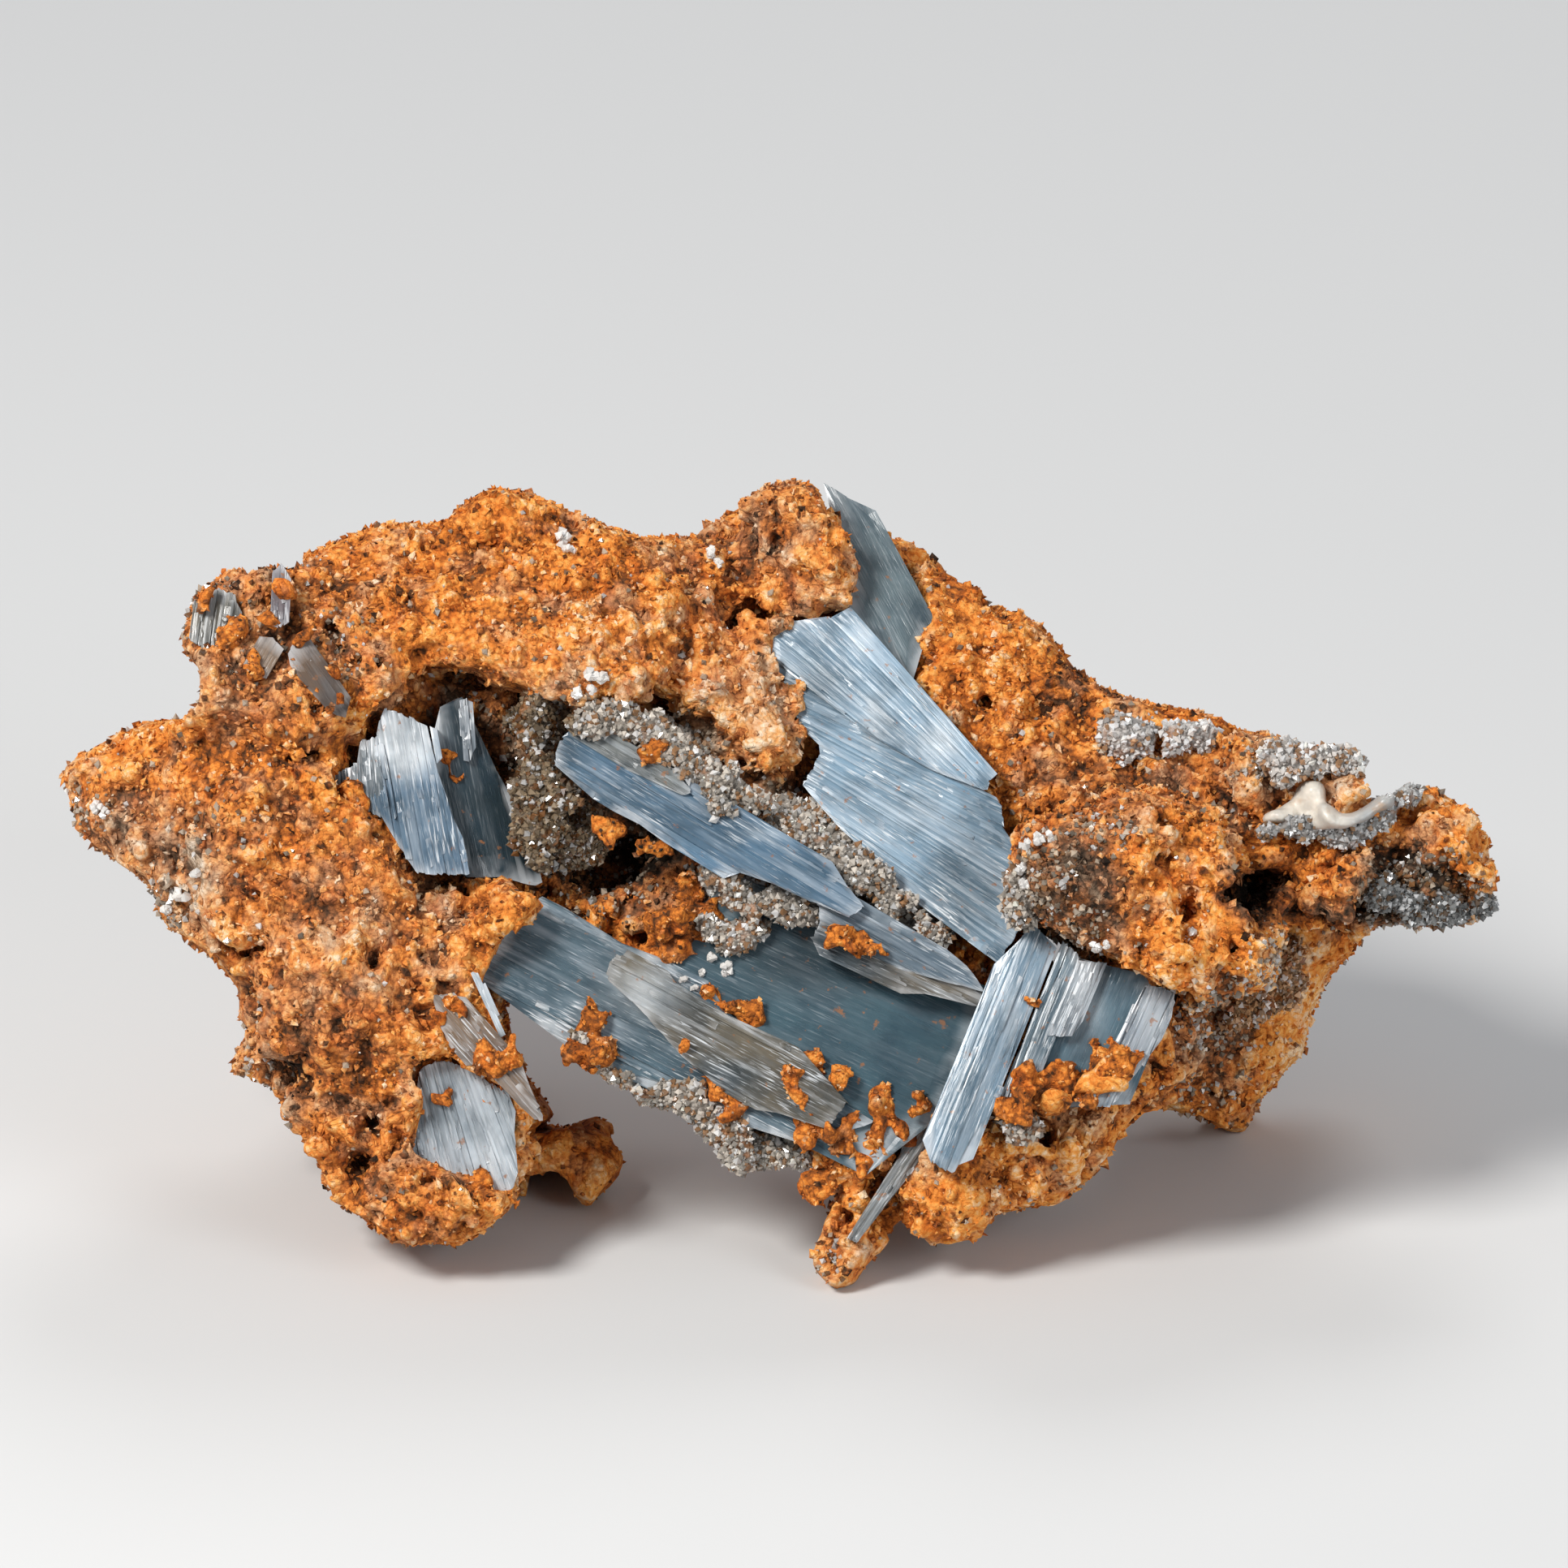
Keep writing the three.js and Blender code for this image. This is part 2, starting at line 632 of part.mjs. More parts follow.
const crusts = [];
CRUSTS.forEach((crust) => {
  const lumps = crustLumps(crust, carrier);
  const earlier = crusts.map(({ socket }) => socket);
  crusts.push({
    name: crust.name,
    colour: crust.colour ?? QUARTZ_COLOUR,
    finish: crust.colour ? 0.9 : 0.4,
    socket: crustSolid(lumps, SEAT_GAP),
    solid: cutBy(crustSolid(lumps, 0), [...crustClearance, ...earlier]).simplify(PIECE_TOLERANCE),
  });
});

function addPiece(group, name, solid, colour, roughness) {
  const material = new THREE.MeshStandardMaterial({ color: colour, roughness, metalness: 0 });
  const mesh = new THREE.Mesh(geometryFrom(solid), material);
  mesh.name = name;
  group.add(mesh);
}

const face = new THREE.Group();
face.rotation.x = Math.PI / 2 - LEAN;
face.position.set(-ORIGIN_ACROSS, -ORIGIN_BACK, 0);
addPiece(face, 'limonite_matrix', matrix, 0xc87a3c, 0.95);
[...crystals, ...crusts].forEach(
  ({ name, solid, colour, finish }) => addPiece(face, name, solid, colour, finish));

const specimen = new THREE.Group();
specimen.add(face);

export default specimen;
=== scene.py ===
"""Barite blade specimen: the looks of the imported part. A Blender 4.5 script, in metres.

Shapes are worked out in millimetres in the coordinates of the display face: a runs across it to the
right, b up it and c out of it towards the viewer. The face leans back by LEAN.
"""

import itertools
import math

import bpy
import numpy as np
import openvdb
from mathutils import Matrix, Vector


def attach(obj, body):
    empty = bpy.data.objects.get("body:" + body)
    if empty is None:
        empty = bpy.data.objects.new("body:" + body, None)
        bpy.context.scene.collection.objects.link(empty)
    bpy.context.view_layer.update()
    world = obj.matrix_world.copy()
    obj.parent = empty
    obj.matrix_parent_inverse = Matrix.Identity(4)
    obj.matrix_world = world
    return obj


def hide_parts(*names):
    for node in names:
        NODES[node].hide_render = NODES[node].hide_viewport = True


LEAN = math.radians(22)
ORIGIN_ACROSS = -0.48  # where the part's origin lies along a
ORIGIN_BACK = 20.3  # how far behind the face's foot it lies
MM = 0.001
WORLD_LOW = (-56.0, -5.0, -36.0)  # the room that every noise lattice covers
WORLD_HIGH = (56.0, 62.0, 14.0)

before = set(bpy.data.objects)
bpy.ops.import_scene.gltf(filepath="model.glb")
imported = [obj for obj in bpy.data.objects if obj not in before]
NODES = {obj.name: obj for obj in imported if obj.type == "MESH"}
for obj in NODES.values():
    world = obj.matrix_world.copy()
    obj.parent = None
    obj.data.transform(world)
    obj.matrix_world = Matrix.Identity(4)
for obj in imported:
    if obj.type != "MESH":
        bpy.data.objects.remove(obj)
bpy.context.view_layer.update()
SHARE = 1.0  # how many of the strewn grains and crystals are made


def voxel(fine):
    return fine


# ------------------------------------------------------------------ coordinates

def above_floor(b, c):
    """Height above the floor in mm."""
    return b * math.cos(LEAN) + c * math.sin(LEAN)


def to_model(points):
    """Face coordinates in mm to the part's frame in metres."""
    a, b, c = np.asarray(points, float).T
    x = a - ORIGIN_ACROSS
    y = b * math.sin(LEAN) - c * math.cos(LEAN) - ORIGIN_BACK
    return np.column_stack([x, y, above_floor(b, c)]) * MM


def to_face(points):
    """The part's frame in metres to face coordinates in mm."""
    x, y, z = np.asarray(points, float).T / MM
    back = y + ORIGIN_BACK
    a = x + ORIGIN_ACROSS
    b = back * math.sin(LEAN) + z * math.cos(LEAN)
    c = z * math.sin(LEAN) - back * math.cos(LEAN)
    return np.column_stack([a, b, c])


# ------------------------------------------------------------------ outlines

# What the whole piece covers, seen square on to the display face, from the left arm's tip clockwise.
SILHOUETTE = [
    (-50.6, 36), (-48.5, 37), (-46.5, 38.3), (-44, 39.1), (-41.5, 38.9), (-40.1, 40.4),
    (-40.4, 42.5), (-41.6, 43.8), (-41.4, 46.3), (-40.5, 48), (-39.1, 48.9), (-38.6, 49.7),
    (-37.2, 49), (-35.9, 49.7), (-34, 49.4), (-33.2, 50.5), (-31, 51.4), (-28, 52.9),
    (-25, 52.8), (-23.4, 53), (-22.2, 54.5), (-20.2, 55.2), (-18.2, 55.2), (-16, 54.5),
    (-13, 53), (-10, 51.8), (-6.4, 52.1), (-4.5, 53.4), (-2, 55.2), (0, 56.1),
    (2, 55.6), (4.3, 54.5), (6, 53), (8.5, 52.9), (9.7, 51.8), (11.2, 50.3),
    (13, 49.2), (14.3, 46.8), (16.3, 47), (18, 45.7), (19.2, 43.8), (21.2, 41.9),
    (22.5, 40.9), (26.5, 40.3), (29.6, 39.7), (30.9, 38.4), (33.6, 38.3), (35.7, 37.5),
    (38.8, 37.1), (40.4, 36.4), (40.3, 34.9), (41.5, 33.7), (43.1, 34.9), (45.5, 34.7),
    (47, 33.5), (49.1, 32.4), (49.1, 30), (49.6, 28), (49.4, 26), (48.3, 25),
    (47.3, 24.6), (41.2, 24.6), (40.2, 23.2), (38.1, 21), (37.5, 19), (36.4, 15.8),
    (34.3, 13.7), (33, 11.8), (32.3, 9.9), (30.8, 10.3), (29, 11.3), (25, 11.9),
    (23.7, 10.5), (22.6, 8.7), (21.2, 7), (18.5, 5.4), (14.7, 4.9), (13.7, 3.2),
    (12.2, 2.7), (11.3, 1.3), (9.2, 3.3), (7.4, 2), (5.7, 1.2), (4.9, 0.1),
    (3.5, -0.3), (2, 0.6), (1.7, 1.5), (2.6, 3.7), (3.1, 6), (2, 7.4),
    (-1, 8), (-3.5, 7.6), (-5, 9.7), (-7, 11.8), (-10, 12.9), (-12.5, 14.3),
    (-14.8, 17), (-17, 19.1), (-18.6, 19.8), (-19.4, 19), (-18.7, 16), (-16.4, 11.5),
    (-17.8, 10.7), (-17.3, 8.3), (-18, 6), (-20.3, 3.8), (-22.3, 2.7), (-26.7, 2.9),
    (-31.3, 5.8), (-32.4, 7.6), (-34.3, 8.6), (-35.1, 12.5), (-35.9, 13.8), (-36.8, 12.7),
    (-38.1, 13.2), (-38.7, 15.5), (-37.5, 16.6), (-38.3, 19.3), (-38, 20.6), (-40, 23),
    (-43.1, 25), (-44.2, 28), (-48, 30.1), (-49.9, 31.8), (-50.3, 34),
]

# The small knob that stands behind the arch, and the part of its root that shows beside it.
ARCH_KNOB = [
    (-15.2, 10.8), (-13, 11.4), (-11.2, 10.7), (-10.4, 8.5), (-11.8, 6.7), (-13.7, 5.2),
    (-15.1, 7), (-15.7, 7.9), (-17, 7.6), (-18.4, 8.4), (-18.4, 10.6), (-16.8, 10.2),
]


def polygon_distance(outline, a, b):
    """Distance to a closed outline in mm, negative inside."""
    nearest = np.full(a.shape, 1e9, np.float32)
    inside = np.zeros(a.shape, bool)
    for (a0, b0), (a1, b1) in zip(outline, outline[1:] + outline[:1]):
        run, rise = a1 - a0, b1 - b0
        share = np.clip(((a - a0) * run + (b - b0) * rise) / (run * run + rise * rise), 0, 1)
        nearest = np.minimum(nearest, np.hypot(a - a0 - share * run, b - b0 - share * rise))
        if rise:
            crosses = (b0 > b) != (b1 > b)
            inside ^= crosses & (a < a0 + (b - b0) * run / rise)
    return np.where(inside, -nearest, nearest)


def silhouette_edge(box):
    """Distances to the silhouette in a box of voxels, the same at every depth."""
    return polygon_distance(SILHOUETTE, *box.sheet())[:, :, None]


def squared_reach(a, b, spot):
    """How far places lie from an oval spot's middle, squared, where 1 is at its edge."""
    middle_a, middle_b, half_a, half_b = spot
    return ((a - middle_a) / half_a) ** 2 + ((b - middle_b) / half_b) ** 2


# ------------------------------------------------------------------ barite facets

# Each crystal is a list of facets, and each facet a flat sheaf of thin laths inside its outline.

def sheaf(at, slopes, pivot, laths, tint, outline, crest=0, tuck=0.4, depth=1.8, calm=False, covered=0):
    """A facet.

    Its face is a plane through the height at [a, b], with two slopes, and falls away from a crest along
    its middle. The laths lie along lines through the pivot. They are from narrow to wide across, as deep
    as the depth, and longer than the outline by the tuck at both ends. Calm ones are broad and smooth.
    Rock covers the facet's edge by as much as covered says.
    """
    return {"at": at, "slopes": slopes, "pivot": pivot, "laths": laths, "tint": tint, "outline": outline,
            "crest": crest, "tuck": tuck, "depth": depth, "calm": calm, "covered": covered}


FAR = 400  # mm to the pivot of laths that are parallel


def away(angle, through):
    """A pivot so far from a point that laths near it run parallel at an angle in degrees."""
    turn = math.radians(angle)
    return (through[0] - FAR * math.cos(turn), through[1] - FAR * math.sin(turn))


# Tints of the barite, and of what coats it.
LIGHT = (0.235, 0.36, 0.47)
PALE = (0.17, 0.265, 0.35)
BLUE = (0.105, 0.195, 0.29)
SLATE = (0.085, 0.14, 0.175)
# Deep barite colour, also the colour of painted shadow.
DEEP_AND_SHADOW = (0.018, 0.036, 0.045)
GREY = (0.20, 0.20, 0.19)
DRAB = (0.13, 0.115, 0.085)
WHITE = (0.50, 0.56, 0.61)
BROWN = (0.15, 0.095, 0.06)
TAN = (0.22, 0.15, 0.10)
MAUVE = (0.17, 0.14, 0.15)
# Pale frost of the barite, also the colour of painted highlights.
FROST_AND_HIGHLIGHT = (0.78, 0.84, 0.88)

# Where the barite is frosted or deeper in colour, and where painted highlights and a painted shadow lie on
# it: a, b, half sizes, and how much paler.
BARITE_TONES = [
    # The next three spots are painted highlights on the large fan.
    (5.4, 44.9, 0.9, 1.2, 0.5),
    (6.2, 39.0, 0.7, 1.7, 0.5),
    (10.4, 37.4, 1.1, 1.1, 0.4),
    (1.9, 41.6, 2.0, 1.5, -0.5),
    (8.8, 32.4, 2.4, 1.0, 0.2),
    (11.4, 38.2, 1.2, 1.8, 0.25),
    (12.8, 27.0, 3.4, 3.2, -0.5),
    (9.4, 46.0, 0.9, 3.4, -0.6),
    (6.4, 49.0, 1.4, 2.4, -0.2),
    (3.6, 53.6, 1.2, 1.6, 0.35),
    # Painted highlight at the top of the left blade.
    (-26.2, 37.8, 2.1, 2.4, 1.4),
    (-26.0, 31.5, 2.4, 3.0, -0.35),
    (-30.2, 34.8, 1.2, 1.4, -0.3),
    (-15.2, 36.8, 1.4, 1.8, -0.45),
    (-10.0, 33.2, 4.6, 1.2, -0.4),
    (-8.2, 33.4, 1.4, 0.3, 0.4),
    (-1.2, 31.2, 1.6, 0.4, 0.35),
    (0.6, 28.6, 2.2, 1.2, -0.15),
    (6.2, 25.2, 1.8, 0.6, 0.3),
    # Painted shadow that the middle blade casts on the slab.
    (1.5, 22.8, 5.0, 2.4, -0.95),
    (7.0, 18.0, 5.0, 3.0, -0.1),
    (-17.0, 22.5, 3.0, 2.2, -0.1),
    (-12.0, 19.0, 3.0, 2.0, 0.08),
    (-9.0, 20.4, 2.2, 1.5, 0.5),
    (-4.0, 14.4, 3.0, 1.2, -0.6),
    (15.6, 19.0, 0.6, 1.8, 0.4),
    (12.4, 12.0, 1.6, 4.0, -0.3),
    (20.8, 20.0, 1.2, 3.0, 0.35),
    (25.4, 19.0, 1.0, 2.2, 0.35),
    (26.8, 19.6, 0.6, 1.4, -0.6),
    (-20.0, 8.5, 1.4, 2.6, 0.4),
    (-24.2, 13.0, 1.8, 2.6, -0.5),
]

FAN_LOWER = sheaf((10, 32, -0.6), (0.08, -0.36), (-29, 55), (0.35, 1.0), LIGHT, [
    (-0.4, 43.2), (1, 42.4), (6.3, 38.3), (10, 36.2), (13.7, 34.8), (14.8, 33.2), (14.9, 31.5),
    (16.2, 30.3), (16, 27), (16.6, 25.8), (14.6, 22.7), (11.5, 24.7), (8.3, 27.7), (4.3, 31.2), (1.5, 34.4),
    (3, 36.9), (1.5, 38.4), (0.4, 41.3),
], covered=0.35)
FAN_MIDDLE = sheaf((10, 32, -0.15), (0.08, -0.36), (26, 22.5), (0.5, 1.7), LIGHT, [
    (-1, 45), (1, 45.8), (3.5, 46), (4.9, 46.6), (8.5, 42.4), (11.5, 39), (14.3, 35.6), (13.7, 34.4),
    (10, 35.8), (6.3, 37.9), (1.6, 41.4), (-0.5, 43.3),
])
FAN_UPPER = sheaf((5, 47, -7.6), (0, -0.33), away(-62, (6, 49)), (1.2, 2.8), (0.14, 0.19, 0.21), [
    (2.3, 55.6), (4.3, 54.5), (6, 53), (7, 51.3), (9, 48.8), (9.8, 46.8), (9.6, 45), (8.7, 42), (4.7, 46),
    (5, 47.3), (4.6, 48.2), (4.7, 50), (4, 52), (3.2, 53.8),
], calm=True)
MIDDLE_UPPER = sheaf((-5.9, 32.2, 3.2), (0.119, -0.061), away(-31, (-5, 32)), (0.5, 1.5), BLUE, [
    (-15.9, 36.6), (-15.4, 37.8), (-14.6, 38.6), (-13.1, 39.1), (-10.1, 37.2), (-7.9, 35.9), (-6, 34),
    (-3, 32.9), (0, 31.2), (2.2, 29.7), (4.1, 28), (5.6, 26.2), (4.6, 25.4), (3, 26.2), (1.7, 26.6),
    (-0.4, 27.6), (-2.1, 28.4), (-4.9, 28.6), (-6.9, 30.1), (-9.2, 32), (-12, 33.4), (-14.8, 35.3),
    (-15.8, 35.9),
], crest=0.3, tuck=0.0)
MIDDLE_TOP = sheaf((-5.9, 32.2, 3.2), (0.119, -0.1), away(-31, (-10, 36)), (0.25, 0.6),
                   (0.19, 0.20, 0.19), [
    (-14.9, 38.2), (-13.1, 39.0), (-10.1, 37.2), (-7.9, 35.9), (-6.2, 34.1), (-7, 33.8), (-10, 35.5),
    (-13.4, 37.2),
], tuck=0.0)
MIDDLE_LOWER = sheaf((8, 22.5, 4.3), (0.088, -0.04), away(-29, (8, 23)), (0.35, 1.0), (0.13, 0.18, 0.225), [
    (2.2, 26.9), (4.5, 27.2), (7.5, 25.4), (10.7, 23.7), (12.6, 22.2), (14, 20.3), (10.4, 21.2), (7, 22.3),
    (4.4, 23.4), (2.4, 24.8),
], crest=0.2, tuck=0.0)
MIDDLE_FRINGE = sheaf((8, 22.5, 4.0), (0.088, 0.05), away(-25, (8, 22)), (0.3, 0.8), (0.17, 0.145, 0.11), [
    (1.7, 24.1), (2.6, 25.2), (6, 23.6), (9.5, 21.9), (13.8, 20.6), (13.6, 19.2), (10.7, 20), (7.5, 20.7),
    (4.3, 22), (2.6, 23.1),
], tuck=0.0)
SLAB_SMOOTH = sheaf((0, 18, 1.0), (0.06, -0.14), away(-25, (4, 18)), (3, 6), (0.058, 0.12, 0.152), [
    (-9, 25), (-2, 26.5), (3, 25.6), (12.6, 20.6), (13.3, 18.4), (12.5, 16.5), (11.6, 14.8), (11, 12.8),
    (9.7, 11.3), (5, 10.2), (1.3, 9.8), (-4, 14), (-8, 18),
], calm=True)
SLAB_LEFT = sheaf((0, 18, 1.5), (0.06, -0.14), away(-27, (-8, 18)), (0.7, 2.0), SLATE, [
    (-21.3, 21.2), (-18.6, 24.5), (-16.5, 26.8), (-14.5, 25.7), (-12, 23.6), (-6, 21), (0, 15), (6, 11.6),
    (1.3, 9.8), (-3, 12), (-6, 13.2), (-9.5, 14.4), (-12, 15), (-14.2, 17.3), (-17, 19.1), (-20, 20.4),
])
SLAB_LATH = sheaf((-4, 17.5, 2.9), (0.0, -0.1), away(-28, (-4, 17)), (0.4, 1.2), (0.16, 0.135, 0.095), [
    (-12.3, 21.9), (-11.8, 22.8), (-10.7, 23.2), (-8.5, 21.9), (-5.2, 19.1), (-1.5, 17.5), (1, 16.6),
    (4.5, 12.6), (3, 10.9), (-3, 12.8), (-7, 15.8), (-10, 19.2), (-12.2, 21.2),
], crest=0.15, tuck=0.0)
SLAB_STRIP = sheaf((7, 7.5, 2.3), (-0.11, -0.12), away(-124, (7, 7.5)), (0.3, 0.6), GREY, [
    (9.5, 12.3), (10.7, 11.5), (9, 8.1), (4.9, 2.9), (3.9, 3.5), (7.4, 8),
], tuck=0.0)
LEFT_FRONT = sheaf((-25.5, 34, 0.6), (-0.05, -0.1), away(-80, (-26, 34)), (0.25, 0.8), (0.15, 0.24, 0.34), [
    (-27.9, 39.2), (-27.6, 40), (-26.6, 39.7), (-25.3, 39.1), (-24.1, 38.5), (-23.6, 36.7), (-24, 35.9),
    (-23.3, 34), (-22.7, 32), (-21.9, 29.6), (-21.8, 28.3), (-25.3, 28.4), (-26.8, 30.7), (-27.8, 32.5),
    (-28.4, 33.2), (-28.2, 37.9),
], tuck=0.0)
LEFT_SIDE = sheaf((-28.5, 35, 0.5), (0.2, -0.1), away(-86, (-29, 35)), (0.2, 0.45), (0.14, 0.17, 0.19), [
    (-29.3, 37.7), (-28, 38.1), (-27.8, 32.3), (-29.1, 32.9), (-30.9, 34), (-30.9, 35.5), (-29.4, 36.3),
], tuck=0.0)
LEFT_BACK = sheaf((-21, 34, -1.6), (-0.1, -0.1), away(-78, (-21, 34)), (0.9, 2.4), (0.012, 0.026, 0.033), [
    (-23.8, 40), (-22.3, 40.8), (-21.6, 39.8), (-21.2, 37.5), (-19, 34.5), (-18.7, 32.2), (-17.3, 29.6),
    (-16.6, 27.4), (-19.5, 28.2), (-22, 28.2), (-24, 33),
], calm=True, tuck=0.0)
LEFT_THIN = sheaf((-22, 38, -1.2), (0.1, -0.1), away(-86, (-22, 38)), (0.25, 0.45), (0.25, 0.28, 0.31), [
    (-22.4, 40.4), (-21.9, 40.7), (-21.5, 40.2), (-21.3, 37.6), (-21.6, 36.1), (-22.1, 36.3),
], depth=0.7, tuck=0.0)
LOWER_LEFT = sheaf((-22, 11, 1.3), (0.05, 0.05), (-32, 44), (0.2, 0.7), WHITE, [
    (-25.2, 15), (-24, 15.7), (-22.5, 15.5), (-20.5, 14.3), (-19, 13.3), (-18.6, 11), (-18.3, 8),
    (-18.5, 7), (-19.3, 6.1), (-20.8, 6), (-21.5, 7.4), (-24.5, 8), (-25.7, 9), (-25.8, 10.5),
    (-25.4, 12.5),
], tuck=0.0)
SPEAR = sheaf((-20.6, 16, 3.6), (0.1, -0.02), away(-49, (-20, 16)), (0.3, 0.8), TAN, [
    (-24.3, 20.3), (-22.8, 20.2), (-21.3, 19.2), (-20, 17.8), (-18.7, 16), (-17.5, 14), (-16.4, 11.5),
    (-17.1, 11.4), (-18.7, 13), (-20.5, 15), (-22, 15.4), (-22.8, 16.5), (-23.7, 17.9),
], depth=1.0, tuck=0.0)
NEEDLES = sheaf((-20.4, 19.5, 3.1), (-0.1, 0.05), away(-66, (-20.4, 19.5)), (0.3, 0.5), WHITE, [
    (-21.6, 21.8), (-21.1, 21.9), (-19.1, 17.4), (-19.5, 17.1),
], depth=0.6, tuck=0.0)
PRISM_RIGHT = sheaf((13.8, 16.7, 5.8), (-0.039, -0.098), away(-112, (13.8, 16.7)), (0.6, 1.5), PALE, [
    (16.6, 24.5), (17, 25.2), (17.6, 24.9), (17.8, 24.2), (18.4, 23.6), (18.3, 22.9), (17.6, 21),
    (16.7, 19.2), (15.9, 16.9), (15.2, 14.6), (14.2, 11.9), (12.8, 10), (11.7, 7.9), (11, 8), (10, 8.7),
    (10.1, 11), (11.2, 13.5), (12.6, 17.7), (14.1, 20.5), (15.2, 22.5),
], crest=0.22, depth=3.2, tuck=0.0)
BLOCK_LEFT = sheaf((17.5, 18.3, 4.9), (-0.03, -0.09), away(-112, (17.5, 18)), (0.25, 0.6),
                   (0.18, 0.25, 0.30), [
    (18.8, 22.9), (19.4, 23.9), (20.4, 22.8), (20.2, 21.6), (19, 18.6), (18, 15.5), (16.6, 13.4),
    (14.9, 12.6), (15.5, 14.2), (16.7, 17), (17.8, 20),
], crest=0.15, tuck=0.0)
BLOCK_MIDDLE = sheaf((20.2, 18.5, 5.0), (-0.03, -0.09), away(-113, (20, 18)), (0.3, 0.7),
                     (0.34, 0.38, 0.42), [
    (20.3, 22.5), (22.3, 22.5), (21.4, 20.4), (19.9, 17.3), (18, 17.2), (18.6, 18.6), (19.4, 20.6),
], crest=0.12, tuck=0.0)
BLOCK_PANEL = sheaf((20.5, 17, 4.1), (0, -0.05), away(-113, (21, 18)), (1.4, 2.8), (0.085, 0.155, 0.2), [
    (19, 22.6), (24.8, 21.2), (26, 18), (24, 14), (22.4, 12.9), (18, 12.6), (15.6, 13),
], calm=True)
BLOCK_RIGHT = sheaf((24.3, 16.8, 4.8), (-0.03, -0.09), away(-114, (24, 17)), (0.3, 0.8),
                    (0.24, 0.28, 0.32), [
    (24.6, 20.9), (25.8, 20.8), (27, 20.4), (26.4, 18), (25.2, 16), (23.8, 14.2), (22.6, 12.4),
    (20.5, 12.4), (20.1, 13), (21.4, 13.7), (22.4, 15.6), (23.5, 18.3),
], crest=0.15, tuck=0.0)
KNOB_STRIATED = sheaf((-39.3, 46, 0.9), (0.05, -0.3), away(82, (-39.3, 46)), (0.25, 0.6), DRAB, [
    (-41, 45), (-40.7, 47.1), (-39.3, 47.9), (-37.9, 47.4), (-37.5, 45.7), (-38.3, 44.5), (-40, 44.3),
], covered=0.5)
KNOB_UPRIGHT = sheaf((-34.8, 47.4, 1.5), (0, -0.5), away(88, (-34.8, 47.4)), (0.25, 0.5), MAUVE, [
    (-35.4, 46), (-35.3, 49), (-34.8, 49.6), (-34.2, 48.9), (-34.1, 46.3), (-34.7, 45.7),
], covered=0.4)
KNOB_BROWN = sheaf((-32.2, 41.7, 2.3), (0.05, -0.1), away(125, (-32.2, 41.7)), (0.5, 1.1), BROWN, [
    (-34, 43.4), (-33.5, 44.3), (-32.5, 44.1), (-30.8, 42), (-30.2, 40.4), (-30.4, 39.3), (-32, 40.3),
    (-33.8, 42.4),
], calm=True, covered=0.3)
KNOB_TAN = sheaf((-35.8, 43.4, 2.2), (0, -0.2), away(60, (-35.8, 43.4)), (0.4, 0.9), TAN, [
    (-37, 43.2), (-36.4, 44.4), (-35.3, 44.5), (-34.8, 43.4), (-35.5, 42.4), (-36.5, 42.4),
], calm=True, covered=0.45)

# Each barite node and its facets.
CRYSTALS = {
    "barite_fan_large": [FAN_LOWER, FAN_MIDDLE, FAN_UPPER],
    "barite_blade_middle": [MIDDLE_UPPER, MIDDLE_TOP, MIDDLE_LOWER, MIDDLE_FRINGE],
    "barite_slab_lower": [SLAB_SMOOTH, SLAB_LEFT, SLAB_LATH, SLAB_STRIP],
    "barite_blade_left": [LEFT_FRONT, LEFT_SIDE, LEFT_BACK, LEFT_THIN],
    "barite_fan_lower_left": [LOWER_LEFT],
    "barite_spear_left": [SPEAR],
    "barite_needle_left": [NEEDLES],
    "barite_prism_right": [PRISM_RIGHT],
    "barite_block_right": [BLOCK_PANEL, BLOCK_LEFT, BLOCK_MIDDLE, BLOCK_RIGHT],
    "barite_plate_knob_1": [KNOB_STRIATED],
    "barite_plate_knob_2": [KNOB_UPRIGHT],
    "barite_plate_knob_3": [KNOB_BROWN],
    "barite_plate_knob_4": [KNOB_TAN],
}


def facet_height(facet, a, b):
    """Height of a facet's plane at a, b."""
    (at_a, at_b, height), (slope_a, slope_b) = facet["at"], facet["slopes"]
    return height + slope_a * (a - at_a) + slope_b * (b - at_b)


def blade_height(a, b, otherwise):
    """Height of the frontmost facet at one point, or what is given where there is no facet."""
    heights = [
        facet_height(facet, a, b) for facet in itertools.chain.from_iterable(CRYSTALS.values())
        if polygon_distance(facet["outline"], np.array([a]), np.array([b]))[0] < 0
    ]
    return max(heights, default=otherwise)


# ------------------------------------------------------------------ voxel boxes

class Box:
    """A box of voxels in face coordinates. Its fields hold distances in mm, negative inside."""

    def __init__(self, low, high, size):
        self.low = np.array(low, float)
        self.size = size
        self.axes = [np.arange(start, stop, size) for start, stop in zip(low, high)]
        self.shape = tuple(len(axis) for axis in self.axes)

    def planes(self):
        """The coordinates a, b and c, shaped to be combined with a field."""
        a, b, c = self.axes
        return a[:, None, None], b[None, :, None], c[None, None, :]

    def sheet(self):
        """The coordinates a and b of every column."""
        return np.meshgrid(self.axes[0], self.axes[1], indexing="ij")

    def around(self, centre, reach):
        """Slices of the voxels within reach of a centre, and their coordinates."""
        slices = []
        for axis, middle, far in zip(self.axes, centre, reach):
            first, last = np.searchsorted(axis, (middle - far, middle + far))
            slices.append(slice(first, last))
        a, b, c = (axis[part] for axis, part in zip(self.axes, slices))
        return tuple(slices), (a[:, None, None], b[None, :, None], c[None, None, :])


def smooth_union(one, other, blend):
    """What is in either field, with their meeting rounded over the blend."""
    share = np.clip(0.5 + 0.5 * (other - one) / blend, 0, 1)
    return other + (one - other) * share - blend * share * (1 - share)


def smooth_common(one, other, blend):
    """What is in both fields."""
    return -smooth_union(-one, -other, blend)


def smooth_cut(one, other, blend):
    """What is in one and not in other."""
    return smooth_common(one, -other, blend)


BAND = 2.6  # mm either side of a mesh in which distances to it are right


